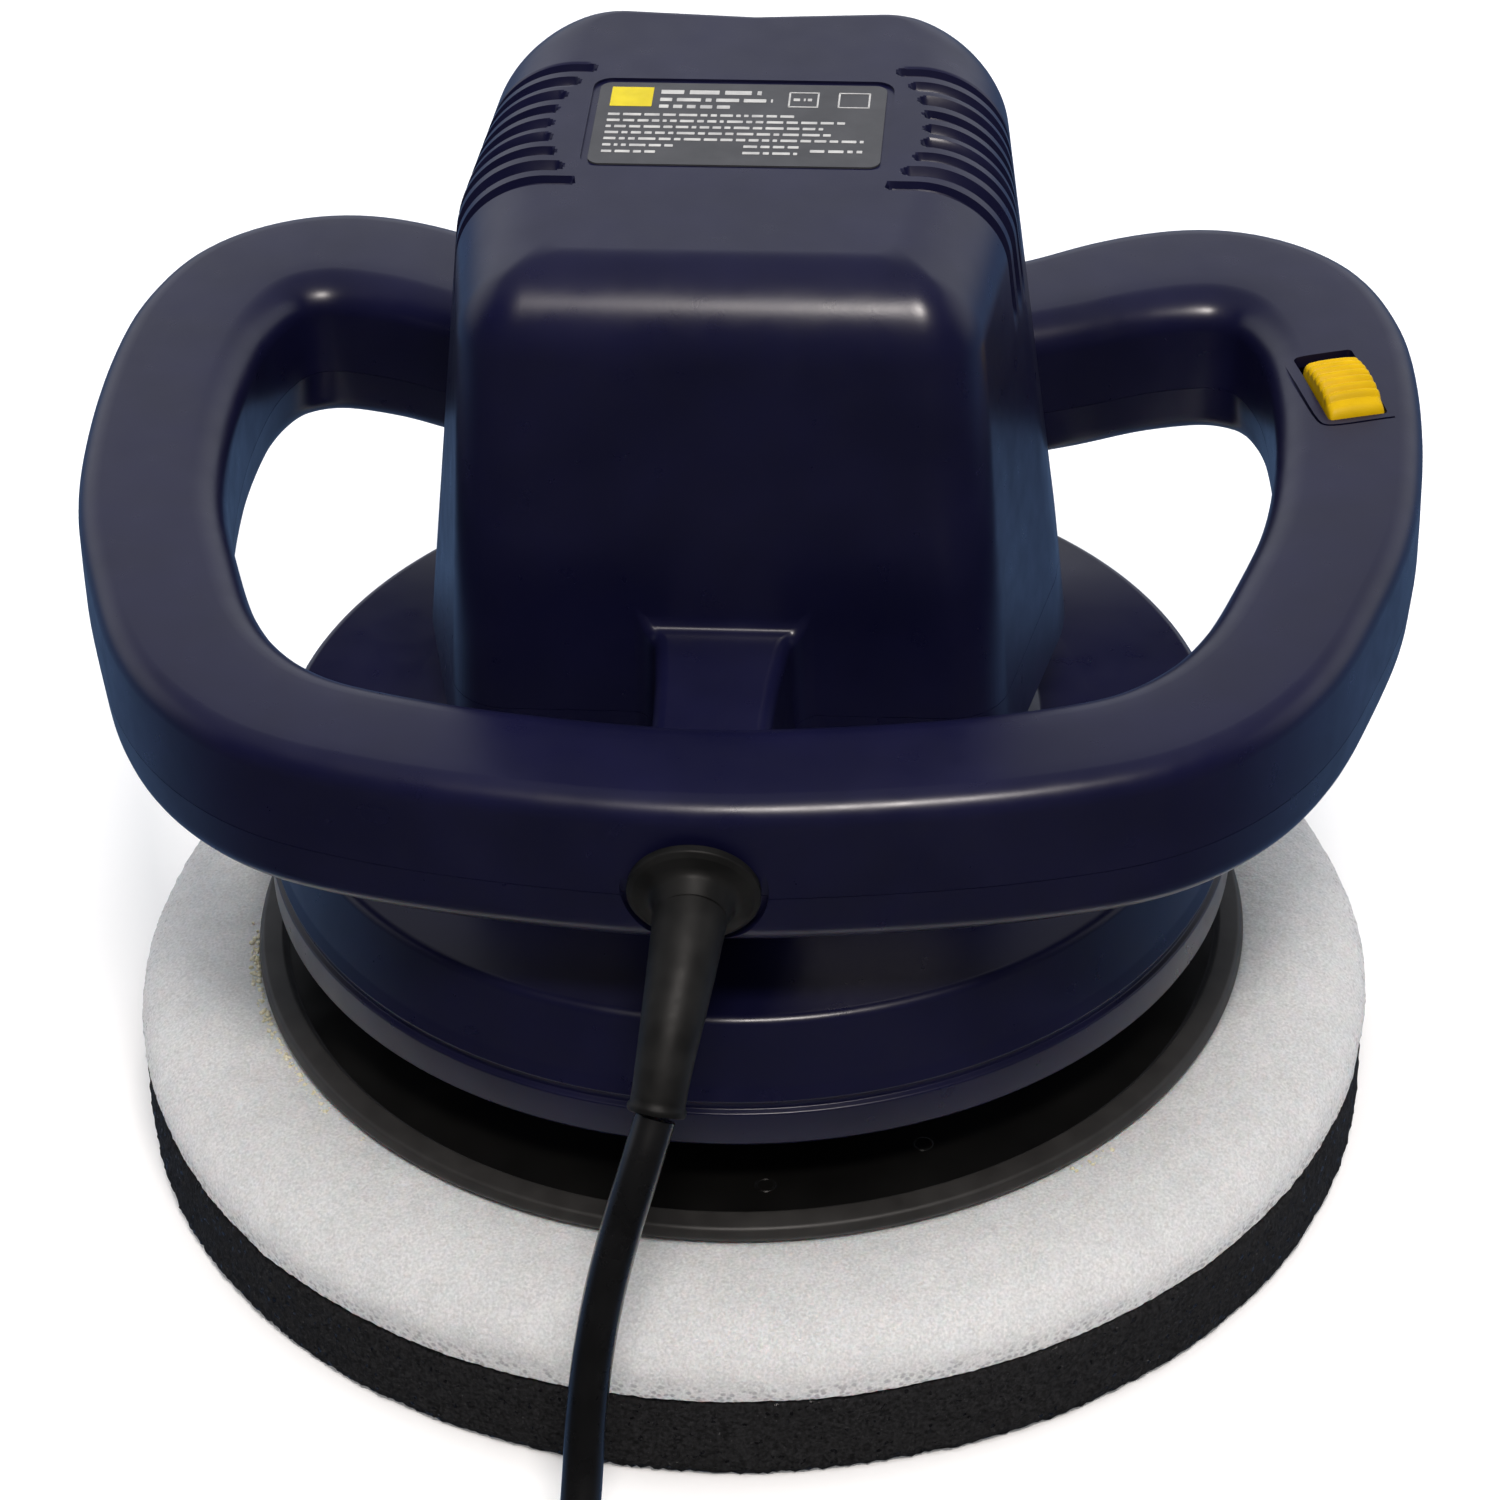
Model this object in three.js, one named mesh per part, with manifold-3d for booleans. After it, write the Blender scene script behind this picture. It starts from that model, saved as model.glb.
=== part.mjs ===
// Orbital polisher with a round foam pad, a closed handle ring and a vertical motor.
// Millimetres. Z is up, the floor is z = 0 and the origin is the centre of the pad's underside.
// -Y is the front, where the cord comes out. +X is the side of the switch.
import * as THREE from 'three';
import { mergeVertices } from 'three/addons/utils/BufferGeometryUtils.js';
import Module from 'manifold-3d';

const wasm = await Module();
wasm.setup();

// ---------------------------------------------------------------- driving dimensions
const CLEAR = 0.3; // gap between pieces that touch
const FIT = 0.25; // gap around pieces that slide or thread
const WALL = 2.6; // thickness of the moulded shells
const ORBIT = 5.5; // throw of the eccentric: the motor axis stands this far behind the pad's centre

const PAD_R = 120; // white foam
const LOWER_FOAM_R = 119.1;
const LOWER_FOAM_TOP = 18;
const LOWER_FOAM_EDGE = 1.8;
const UPPER_FOAM_SHOULDER = 22; // height where the side starts to round over
const FOAM_TOP = 35;
const PLATE_R = 96;
const PLATE_T = 2.4;
const PLATE_RIM_H = 4;
const PLATE_RIM_W = 5;
const HUB_R = 19;
const HUB_TOP = 56;
const SEAT_Z = 45.7; // floor of the pad bearing's seat

const SEAM_Z = 112.6; // parting plane of the two shells
const BAR_TOP = 132; // handle ring
const BAR_BOTTOM = 100.5;
const BAR_HALF = 13.8;
const BAR_OUTER_R = 4.8; // rounding of its top edges
const BAR_INNER_R = 6.8;
const BAR_BOTTOM_R = 6;
const BAR_DRAFT = 1.4;
const HOLLOW_SHRINK = 1.6; // how much faster than the walls the hollow's corners tighten
const BAR_STATIONS = 46;
const LOBE = 0.155; // the ring is this much wider at its back corners
const LOBE_X = 84;
const LOBE_SPREAD = 24;
const LOBE_FROM_Y = 35;
const LOBE_RISE = 40; // stretch of y over which the extra width grows

const TOWER_TOP = 200.5; // motor cover
const TOWER_EDGE_H = 15;
const TOWER_EDGE_BACK = 0.42; // depth of the back edge's rounding, as a share of its height
const TOWER_MIDDLE_Y = 4; // where the cover is widest
const TOWER_FOOT = { front: 49.5, middle: 60.3, back: 55.5, yFront: -44.4, yBack: 66 };
const TOWER_HEAD = { front: 44.2, middle: 48.9, back: 44.5, yFront: -44, yBack: 63 };
const TOWER_CORNERS = { front: 11, middle: 40, back: 22 };
const SKIRT_LIP_R = 92.6; // round guard over the backing plate
const SKIRT_LIP_Z = 51;
const SKIRT_TOP_Z = 77.7;
const SKIRT_TOP_R = 89;
const RIM_GROOVE = { bottom: 58.8, top: 61.2, depth: 1.1, chamfer: 0.5 };
const SHOULDER_R = 66; // where the skirt's top starts to rise to the neck
const SHOULDER_Z = 79.3;
const NECK_R = 50;
const NECK_TOP_Z = 104;

const BRIDGE_TOP = 131.2;
const BRIDGE_TOP_HALF = 13.5;
const BRIDGE_FOOT_HALF = 17;
const BRIDGE_BACK = -37; // inside the cover
const BRIDGE_FRONT = -76; // inside the handle ring

const GROOVES = 9; // finger-wide vents in the shoulders of the cover
const GROOVE_PITCH = 5.12;
const GROOVE_R = 1.7;
const GROOVE_FIRST_Y = -6.1;
const GROOVE_INNER = 33.5; // how close the middle grooves come to the label
const GROOVE_BOW = 6;
const GROOVE_LIFT = 0.4; // its centre stands this far above the skin
const GROOVE_OUT = 1.4; // and this far outside the side wall
const GROOVE_TAIL = 12; // how far it runs down the side below the shoulder

const LABEL = { x: 0, y: 15.1, width: 52.2, depth: 29.5, thick: 0.8, corner: 2.5 };
const LABEL_RECESS = 1.2;

const SWITCH = { x: 111, y: 39.9, turn: THREE.MathUtils.degToRad(16.3) };
const SLOT_LENGTH = 23.3;
const SLOT_WIDTH = 11.6;
const SWITCH_TRAVEL = 4.5;
const KNOB_RIBS = 7;
const KNOB_FOOT_Z = 127.2;

const CORD_D = 7.2;
const GLAND = { x: -1.4, y: -98.8, z: 114.2, droop: THREE.MathUtils.degToRad(12) };
const FLANGE_R = 11.6;
const COIL = { x: -65.5, y: -214, radius: 41, columns: 2, layers: 3 };

const SHAFT_R = 4;
const SHAFT_FOOT_R = 5;
const CORE_BOTTOM = 122;
const CORE_TOP = 152;
const ARMATURE_R = 16;
const BRUSH_Z = 169;
const SHAFT_BOTTOM = 66;
const SHAFT_TOP = 187;
const SHAFT_STEP_Z = 108;
const COIL_OFFSET = 20.2; // field coils and their windows, from the motor axis
const UPPER_BEARING = { bottom: 181, top: 188, inner: 6.2, race: 6.5, outer: 11 };
const LOWER_BEARING = { bottom: 82, top: 90.6, inner: 7.3, race: 7.6, outer: 13 };
const PAD_BEARING = { bottom: 46, top: 54, pin: 6, inner: 8.6, race: 8.9, outer: 14 };
const COMMUTATOR = { radius: 10.5, bottom: 162.5, top: 175 };
const FAN = { hub: 9, radius: 38, bottom: 96, disc: 98, top: 106, blades: 8 };
const WEIGHT = { hub: 12.5, radius: 46, bottom: 62, top: 74 };
const BOLT_R = 3;

// Centre line of the handle ring in plan, from the front along the right side to the back.
const BAR_HALF_PATH = [
  [0, -85.2], [32, -82.4], [58, -77.2], [76, -70.6], [88.6, -59.7], [97.2, -45.8], [104.2, -26],
  [110, -4], [112.4, 20], [112.2, 44], [109.4, 63], [101.8, 78.2], [88, 84.8], [71, 81.4],
  [55, 73.6], [32, 66.5], [0, 64],
];

// Route of the cord from the strain relief to the coil, and from the coil to the plug.
const CORD_ROUTE = [
  [-6.1, -125.25, 90.05], [-8.5, -129.8, 82.9], [-12, -133.6, 71.4], [-15, -136.2, 59.2],
  [-17.2, -138.4, 47], [-18.6, -141.4, 35], [-19.3, -146.4, 24], [-19.9, -154.4, 14],
  [-20.4, -164.6, 7], [-20.8, -174, 4.3], [-20.9, -183, 3.8],
];
const TAIL_ROUTE = [
  [-93.7, -259.2, 10.2], [-99, -260.2, 8.5], [-104.8, -261.1, 7.4], [-110.4, -261.3, 7.2],
];
const PLUG = { x: -110.4, y: -261.3, z: 7.2, relief: 22, body: 30, width: 24, height: 14 };

// ---------------------------------------------------------------- materials
function finish(color, roughness, metalness = 0) {
  return new THREE.MeshStandardMaterial({ color, roughness, metalness });
}
const NAVY = () => finish(0x1c1b38, 0.42);
const STEEL = () => finish(0xb4b6b8, 0.35, 1);
const COPPER = () => finish(0xa85a2c, 0.4, 1);
const BLACK_PLASTIC = () => finish(0x141416, 0.5);
const YELLOW = () => finish(0xe8b81a, 0.45);
const LABEL_GREY = () => finish(0x5b5d60, 0.4);
const WHITE_FOAM = () => finish(0xd8d9da, 0.95);
const BLACK_FOAM = () => finish(0x1c1c1e, 0.97);
const RUBBER = () => finish(0x2a2a2a, 0.6);
const CABLE = () => finish(0x101010, 0.35);

// ---------------------------------------------------------------- solids
function solid(geometry) {
  const bare = geometry.index ? geometry.toNonIndexed() : geometry.clone();
  bare.deleteAttribute('normal');
  bare.deleteAttribute('uv');
  const merged = mergeVertices(bare, 1e-4);
  const build = (triVerts) => new wasm.Manifold(new wasm.Mesh({
    numProp: 3,
    vertProperties: new Float32Array(merged.attributes.position.array),
    triVerts,
  }));
  const faces = new Uint32Array(merged.index.array);
  const made = build(faces);
  if (made.volume() > 0) return made;
  return build(faces.reverse());
}

function geometryOf(manifold) {
  const mesh = manifold.getMesh();
  const geometry = new THREE.BufferGeometry();
  geometry.setAttribute('position', new THREE.BufferAttribute(mesh.vertProperties, 3));
  geometry.setIndex(new THREE.BufferAttribute(mesh.triVerts, 1));
  geometry.computeVertexNormals();
  return geometry;
}

const union = (first, ...others) => others.reduce((sum, next) => sum.add(next), first);

function box(width, depth, height, x, y, z) {
  return solid(new THREE.BoxGeometry(width, depth, height).translate(x, y, z + height / 2));
}

function cylinder(radius, bottom, top, x = 0, y = 0, sides = 24) {
  const shape = new THREE.CylinderGeometry(radius, radius, top - bottom, sides);
  return solid(shape.rotateX(Math.PI / 2).translate(x, y, (top + bottom) / 2));
}

// A turned solid: the profile holds [radius, z] pairs, and closes on itself unless it meets the axis.
function turned(profile, sides = 32, x = 0, y = 0) {
  const points = profile.map(([r, z]) => new THREE.Vector2(r, z));
  const onAxis = profile[0][0] === 0 && profile[profile.length - 1][0] === 0;
  if (!onAxis) points.push(points[0].clone());
  return solid(new THREE.LatheGeometry(points, sides).rotateX(Math.PI / 2).translate(x, y, 0));
}

const tube = (inner, outer, bottom, top, sides, x, y) => turned(
  [[inner, bottom], [outer, bottom], [outer, top], [inner, top]], sides, x, y);

// Joins rings of equal point counts into a closed skin, capped at both ends or closed on itself.
function loft(rings, closed = false) {
  const count = rings[0].length;
  const position = rings.flat().flatMap((p) => [p.x, p.y, p.z]);
  const index = [];
  const spans = closed ? rings.length : rings.length - 1;
  for (let i = 0; i < spans; i += 1) {
    const low = i * count;
    const high = ((i + 1) % rings.length) * count;
    for (let j = 0; j < count; j += 1) {
      const k = (j + 1) % count;
      index.push(low + j, low + k, high + k, low + j, high + k, high + j);
    }
  }
  if (!closed) {
    const last = (rings.length - 1) * count;
    for (const [ring, first, flip] of [[rings[0], 0, true], [rings[rings.length - 1], last, false]]) {
      const centre = ring.reduce((sum, p) => sum.add(p), new THREE.Vector3()).divideScalar(count);
      const hub = position.length / 3;
      position.push(centre.x, centre.y, centre.z);
      for (let j = 0; j < count; j += 1) {
        const k = (j + 1) % count;
        index.push(hub, first + (flip ? k : j), first + (flip ? j : k));
      }
    }
  }
  const geometry = new THREE.BufferGeometry();
  geometry.setAttribute('position', new THREE.Float32BufferAttribute(position, 3));
  geometry.setIndex(index);
  return solid(geometry);
}

function arc(cx, cy, radius, from, to, steps) {
  const points = [];
  for (let i = 0; i <= steps; i += 1) {
    const angle = THREE.MathUtils.degToRad(from + ((to - from) * i) / steps);
    points.push([cx + radius * Math.cos(angle), cy + radius * Math.sin(angle)]);
  }
  return points;
}

// A polygon with rounded corners, each given as [x, y, radius], in equal steps per corner.
function rounded(corners, steps = 4) {
  return corners.flatMap(([x, y, radius], i) => {
    const here = new THREE.Vector2(x, y);
    const before = corners[(i + corners.length - 1) % corners.length];
    const after = corners[(i + 1) % corners.length];
    const back = new THREE.Vector2(before[0], before[1]).sub(here).normalize();
    const ahead = new THREE.Vector2(after[0], after[1]).sub(here).normalize();
    const half = Math.acos(THREE.MathUtils.clamp(back.dot(ahead), -1, 1)) / 2;
    const toCentre = back.clone().add(ahead).normalize().multiplyScalar(radius / Math.sin(half));
    const centre = here.clone().add(toCentre);
    const start = here.clone().addScaledVector(back, radius / Math.tan(half)).sub(centre);
    const turn = Math.PI - 2 * half;
    return Array.from({ length: steps + 1 }, (_, k) => {
      const spoke = start.clone().rotateAround(new THREE.Vector2(), (turn * k) / steps);
      return [centre.x + spoke.x, centre.y + spoke.y];
    });
  });
}

function prism(outline, bottom, top) {
  const shape = new THREE.Shape(outline.map(([x, y]) => new THREE.Vector2(x, y)));
  const geometry = new THREE.ExtrudeGeometry(shape, { depth: top - bottom, bevelEnabled: false });
  return solid(geometry.translate(0, 0, bottom));
}

function circle(radius, sides) {
  return new THREE.Shape(Array.from({ length: sides }, (_, i) => {
    const angle = (2 * Math.PI * i) / sides;
    return new THREE.Vector2(radius * Math.cos(angle), radius * Math.sin(angle));
  }));
}

function curve(points) {
  return new THREE.CatmullRomCurve3(points.map((p) => new THREE.Vector3(...p)));
}

function wire(points, radius, steps, sides = 6) {
  const path = curve(points);
  return solid(new THREE.ExtrudeGeometry(circle(radius, sides), { steps, extrudePath: path }));
}

// ---------------------------------------------------------------- the assembly
const polisher = new THREE.Group();
const housing = new THREE.Group(); // everything centred on the motor axis
housing.position.set(0, ORBIT, 0);
const pad = new THREE.Group(); // everything centred on the pad's own axis
const cord = new THREE.Group();
polisher.add(housing, pad, cord);

function place(group, name, manifold, material) {
  const mesh = new THREE.Mesh(geometryOf(manifold), material);
  mesh.name = name;
  group.add(mesh);
}

// ---------------------------------------------------------------- handle ring
// Section of the ring as [outward, z] pairs, shrunk by inset for the hollow.
function barSection(inset) {
  const half = BAR_HALF - inset;
  const foot = half - BAR_DRAFT;
  const top = BAR_TOP - inset;
  const bottom = BAR_BOTTOM + inset;
  const outerR = BAR_OUTER_R - inset;
  const innerR = BAR_INNER_R - HOLLOW_SHRINK * inset;
  const footR = BAR_BOTTOM_R - HOLLOW_SHRINK * inset;
  return [
    ...arc(half - outerR, top - outerR, outerR, 0, 90, 2),
    ...arc(-half + innerR, top - innerR, innerR, 90, 180, 2),
    [-half, SEAM_Z],
    ...arc(-foot + footR, bottom + footR, footR, 180, 270, 2),
    ...arc(foot - footR, bottom + footR, footR, 270, 360, 2),
    [half, SEAM_Z],
  ];
}

function barPath() {
  const left = BAR_HALF_PATH.slice(1, -1).reverse().map(([x, y]) => [-x, y]);
  const points = [...BAR_HALF_PATH, ...left].map(([x, y]) => new THREE.Vector3(x, y, 0));
  return new THREE.CatmullRomCurve3(points, true, 'centripetal');
}

// How much of the back corners' extra width the ring has at a point of its centre line.
function lobeShare({ x, y }) {
  const off = (Math.abs(x) - LOBE_X) / LOBE_SPREAD;
  return Math.exp(-off * off) * THREE.MathUtils.clamp(
    (y - LOBE_FROM_Y) / LOBE_RISE, 0, 1);
}

function handleRing(inset) {
  const path = barPath();
  const section = barSection(inset);
  const rings = [];
  for (let i = 0; i < BAR_STATIONS; i += 1) {
    const at = i / BAR_STATIONS;
    const centre = path.getPointAt(at);
    const along = path.getTangentAt(at);
    const wider = 1 + LOBE * lobeShare(centre);
    rings.push(section.map(([out, z]) => new THREE.Vector3(
      centre.x + along.y * out * wider, centre.y - along.x * out * wider, z)));
  }
  return loft(rings, true);
}

// ---------------------------------------------------------------- motor cover
// Plan of the cover at a height, as the half widths at front, middle and back and the two y limits.
function towerPlan(z) {
  const rise = THREE.MathUtils.clamp((z - BAR_BOTTOM) / (TOWER_TOP - BAR_BOTTOM), 0, 1);
  const at = (key) => TOWER_FOOT[key] + (TOWER_HEAD[key] - TOWER_FOOT[key]) * rise;
  return {
    front: at('front'), middle: at('middle'), back: at('back'), yFront: at('yFront'),
    yBack: at('yBack'),
  };
}

function towerRing(z, inset, edge) {
  const plan = towerPlan(z);
  const sideInset = inset + edge;
  const backInset = inset + edge * TOWER_EDGE_BACK;
  const cornerR = (radius) => Math.max(radius - sideInset, 3);
  const front = [plan.front - sideInset, plan.yFront + sideInset, cornerR(TOWER_CORNERS.front)];
  const middle = [plan.middle - sideInset, TOWER_MIDDLE_Y, TOWER_CORNERS.middle];
  const back = [plan.back - sideInset, plan.yBack - backInset, cornerR(TOWER_CORNERS.back)];
  const mirror = ([x, y, radius]) => [-x, y, radius];
  const corners = [front, middle, back, mirror(back), mirror(middle), mirror(front)];
  const outline = rounded(corners, 3);
  return outline.map(([x, y]) => new THREE.Vector3(x, y, z));
}

function tower(inset) {
  const bottom = BAR_BOTTOM + inset;
  const edge = TOWER_EDGE_H - inset;
  const shoulder = TOWER_TOP - TOWER_EDGE_H;
  const rings = [towerRing(bottom, inset, 0), towerRing(shoulder, inset, 0)];
  for (const degrees of [22, 45, 68, 90]) {
    const angle = THREE.MathUtils.degToRad(degrees);
    rings.push(towerRing(shoulder + edge * Math.sin(angle), inset, edge * (1 - Math.cos(angle))));
  }
  return loft(rings);
}

function bridge(inset) {
  const ring = (half, z) => [
    [-half, BRIDGE_BACK], [-half, BRIDGE_FRONT], [half, BRIDGE_FRONT], [half, BRIDGE_BACK],
  ].map(([x, y]) => new THREE.Vector3(x, y, z));
  return loft([
    ring(BRIDGE_FOOT_HALF - inset, BAR_BOTTOM + inset),
    ring(BRIDGE_TOP_HALF - inset, BRIDGE_TOP - inset),
  ]);
}

const body = (inset) => union(handleRing(inset), tower(inset), bridge(inset));

// One vent groove runs outward over the cover's shoulder and down its side.
function groove(side, index) {
  const y = GROOVE_FIRST_Y + GROOVE_PITCH * index;
  const fromMiddle = (index - (GROOVES - 1) / 2) / ((GROOVES - 1) / 2);
  const inner = GROOVE_INNER - GROOVE_BOW * fromMiddle * fromMiddle;
  const middle = towerPlan(TOWER_TOP).middle;
  const shoulder = middle - TOWER_EDGE_H;
  const points = [[inner + GROOVE_R, TOWER_TOP]];
  for (const degrees of [80, 55, 30, 8]) {
    const angle = THREE.MathUtils.degToRad(degrees);
    points.push([
      shoulder + TOWER_EDGE_H * Math.cos(angle),
      TOWER_TOP - TOWER_EDGE_H * (1 - Math.sin(angle)),
    ]);
  }
  points.push([middle + GROOVE_OUT, TOWER_TOP - TOWER_EDGE_H - GROOVE_TAIL]);
  const path = points.map(([x, z]) => [side * x, y, z + GROOVE_LIFT]);
  return wire(path, GROOVE_R, 5, 5);
}

// ---------------------------------------------------------------- skirt
function skirtOutside() {
  const { bottom, top, depth, chamfer } = RIM_GROOVE;
  return turned([
    [0, SKIRT_LIP_Z], [SKIRT_LIP_R - 0.9, SKIRT_LIP_Z], [SKIRT_LIP_R, SKIRT_LIP_Z + 1],
    [SKIRT_LIP_R, bottom], [SKIRT_LIP_R - depth, bottom + chamfer],
    [SKIRT_LIP_R - depth, top - chamfer], [SKIRT_LIP_R - 0.4, top], [SKIRT_LIP_R - 1.2, top + 2.8],
    [SKIRT_TOP_R + 0.4, SKIRT_TOP_Z - 2], [SKIRT_TOP_R - 1.6, SKIRT_TOP_Z],
    [SHOULDER_R, SHOULDER_Z], [SHOULDER_R - 10, SHOULDER_Z + 1.1], [NECK_R + 3.2, SHOULDER_Z + 3.3],
    [NECK_R + 2.4, SHOULDER_Z + 10.7], [NECK_R, NECK_TOP_Z], [0, NECK_TOP_Z],
  ], 44);
}

function skirtInside() {
  const roof = SKIRT_TOP_Z - WALL;
  return turned([
    [0, SKIRT_LIP_Z - 1], [SKIRT_LIP_R - WALL, SKIRT_LIP_Z - 1],
    [SKIRT_LIP_R - WALL - 1.2, RIM_GROOVE.top + 2.8], [SKIRT_TOP_R - WALL - 1, roof],
    [SHOULDER_R - 2, SHOULDER_Z - 2.8], [SHOULDER_R - 12, SHOULDER_Z - 1.6],
    [NECK_R + 0.4, SHOULDER_Z + 1.1], [NECK_R - 0.2, SHOULDER_Z + 9.1],
    [NECK_R - WALL, NECK_TOP_Z + 0.5], [0, NECK_TOP_Z + 0.5],
  ], 32);
}

// ---------------------------------------------------------------- housing screws
const SCREW_PLACES = [[-102, 79], [102, 79], [-89, -60], [89, -60], [-32, 69], [32, 69]];
const SCREW_HEAD_Z = 105;
const SCREW_TIP_Z = 124;
const SCREW_HEAD_R = 3.2;
const SCREW_HEAD_H = 2.4;
const SCREW_SHANK_R = 1.7;
const CROSS = { long: 3.6, wide: 0.9, deep: 1.2 }; // driver recess
const BOSS_R = 4.6;

function screw(x, y) {
  const headBottom = SCREW_HEAD_Z - SCREW_HEAD_H;
  const made = turned([
    [0, headBottom], [SCREW_HEAD_R - 0.2, headBottom], [SCREW_HEAD_R, SCREW_HEAD_Z],
    [SCREW_SHANK_R, SCREW_HEAD_Z], [SCREW_SHANK_R, SCREW_TIP_Z - 1.5], [0, SCREW_TIP_Z],
  ], 8, x, y);
  const cross = box(CROSS.long, CROSS.wide, CROSS.deep, x, y, headBottom - 0.2).add(
    box(CROSS.wide, CROSS.long, CROSS.deep, x, y, headBottom - 0.2));
  return made.subtract(cross);
}

function lowerBosses() {
  return SCREW_PLACES.map(([x, y]) => cylinder(BOSS_R + 0.8, BAR_BOTTOM + 0.6, SEAM_Z + 1, x, y, 10));
}

function upperBosses() {
  return SCREW_PLACES.map(([x, y]) => cylinder(BOSS_R, SEAM_Z - 1, BAR_TOP - 1, x, y, 10));
}

function screwHoles() {
  return SCREW_PLACES.flatMap(([x, y]) => [
    cylinder(SCREW_HEAD_R + 0.7, BAR_BOTTOM - 1, SCREW_HEAD_Z + CLEAR, x, y, 10),
    cylinder(SCREW_SHANK_R + FIT, SCREW_HEAD_Z - 1, SCREW_TIP_Z + CLEAR, x, y, 8),
  ]);
}

// ---------------------------------------------------------------- cord entry
// Turns a solid built along +Z so that +Z points out of the front wall, drooping a little.
function atGland(manifold) {
  const degrees = 90 + THREE.MathUtils.radToDeg(GLAND.droop);
  return manifold.rotate([degrees, 0, 0]).translate([GLAND.x, GLAND.y, GLAND.z]);
}

const glandCuts = () => [
  atGland(cylinder(6.3, -12, 6, 0, 0, 20)),
  atGland(cylinder(FLANGE_R + 1, -0.9, 8, 0, 0, 32)),
];

// ---------------------------------------------------------------- switch
// Turns a solid built around the slot's centre, with +Y along the slot, into its place on the ring.
function atSwitch(manifold) {
  return manifold.rotate([0, 0, THREE.MathUtils.radToDeg(SWITCH.turn)]).translate(
    [SWITCH.x, SWITCH.y, 0]);
}

const switchCuts = () => [
  atSwitch(box(SLOT_WIDTH, SLOT_LENGTH, 10, 0, 0, BAR_TOP - 5)),
  atSwitch(box(SLOT_WIDTH + 3, SLOT_LENGTH + 3, 5, 0, 0, BAR_TOP - 0.8)),
];

function switchKnob() {
  const length = SLOT_LENGTH - SWITCH_TRAVEL - 2 * FIT;
  const front = -SLOT_LENGTH / 2 + FIT;
  const top = BAR_TOP + 1.4;
  const crown = 1.2;
  const pitch = length / KNOB_RIBS;
  const outline = [[front, KNOB_FOOT_Z + 0.6], [front + length, KNOB_FOOT_Z + 0.6]];
  for (let i = KNOB_RIBS - 1; i >= 0; i -= 1) {
    for (const [share, height] of [[0.95, 0], [0.7, 0.6], [0.3, 0.6], [0.05, 0]]) {
      const along = (i + share) * pitch;
      const bow = crown * Math.sin((Math.PI * along) / length);
      outline.push([front + along, top + height + bow]);
    }
  }
  const half = SLOT_WIDTH / 2 - FIT;
  const cap = prism(outline, -half, half).rotate([90, 0, 90]);
  const foot = box(2 * half, length + 1.4, 1.2, 0, front + length / 2, KNOB_FOOT_Z);
  return atSwitch(cap.add(foot));
}

function switchBody() {
  const case_ = box(10.5, 20, 15, 0, -1, 108);
  const tabs = [-5, 1, 7].map((y) => box(0.8, 4.6, 4.5, -1, y - 2, 104));
  return atSwitch(union(case_, ...tabs));
}

// ---------------------------------------------------------------- the two shells
function shells() {
  const outside = body(0);
  const hollow = body(WALL);
  const wide = 400;
  const above = box(wide, wide, wide, 0, 0, SEAM_Z + CLEAR / 2);
  const below = box(wide, wide, wide, 0, 0, SEAM_Z - CLEAR / 2 - wide);
  const cuts = [...screwHoles(), ...glandCuts(), ...switchCuts()];
  const recess = prism(
    rounded(labelCorners(1.1), 3), TOWER_TOP - LABEL_RECESS, TOWER_TOP + 5);
  const vents = [];
  for (let i = 0; i < GROOVES; i += 1) vents.push(groove(-1, i), groove(1, i));
  const upper = union(outside.subtract(hollow), ...upperBosses().map((b) => b.intersect(outside)));
  const lowerOutside = outside.add(skirtOutside());
  const lowerHollow = hollow.add(skirtInside());
  const lower = union(lowerOutside.subtract(lowerHollow), ...lowerBosses());
  const trim = (shell, half, tools) => tools.reduce((rest, tool) => rest.subtract(tool),
    shell.intersect(half));
  return {
    upper: trim(upper, above, [...cuts, recess, ...vents]),
    lower: trim(lower, below, cuts),
  };
}

// ---------------------------------------------------------------- label
function labelCorners(margin) {
  const x = LABEL.width / 2 + margin;
  const y = LABEL.depth / 2 + margin;
  const radius = LABEL.corner + margin;
  return [[x, -y], [x, y], [-x, y], [-x, -y]].map(
    ([cx, cy]) => [LABEL.x + cx, LABEL.y + cy, radius]);
}

const labelPlate = () => prism(rounded(labelCorners(0), 3),
  TOWER_TOP - LABEL_RECESS + CLEAR, TOWER_TOP - LABEL_RECESS + CLEAR + LABEL.thick);

// ---------------------------------------------------------------- strain relief
const BOOT_ROUTE = [
  [GLAND.x, -90, 116.1], [GLAND.x, GLAND.y, GLAND.z], [-2, -108, 110.9], [-3.1, -117, 105.6],
  [-4.5, -124.6, 99], [-6, -130.4, 90.6],
];

// A round solid along a curve, whose radius is given at shares of the curve's length.
function taper(points, stations, sides) {
  const path = curve(points);
  const rings = stations.map(([share, radius]) => {
    const centre = path.getPointAt(share);
    const along = path.getTangentAt(share);
    const side = new THREE.Vector3(1, 0, 0).addScaledVector(along, -along.x).normalize();
    const up = along.clone().cross(side);
    return Array.from({ length: sides }, (_, i) => {
      const angle = (2 * Math.PI * i) / sides;
      return centre.clone().addScaledVector(side, radius * Math.cos(angle)).addScaledVector(
        up, radius * Math.sin(angle));
    });
  });
  return loft(rings);
}

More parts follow.
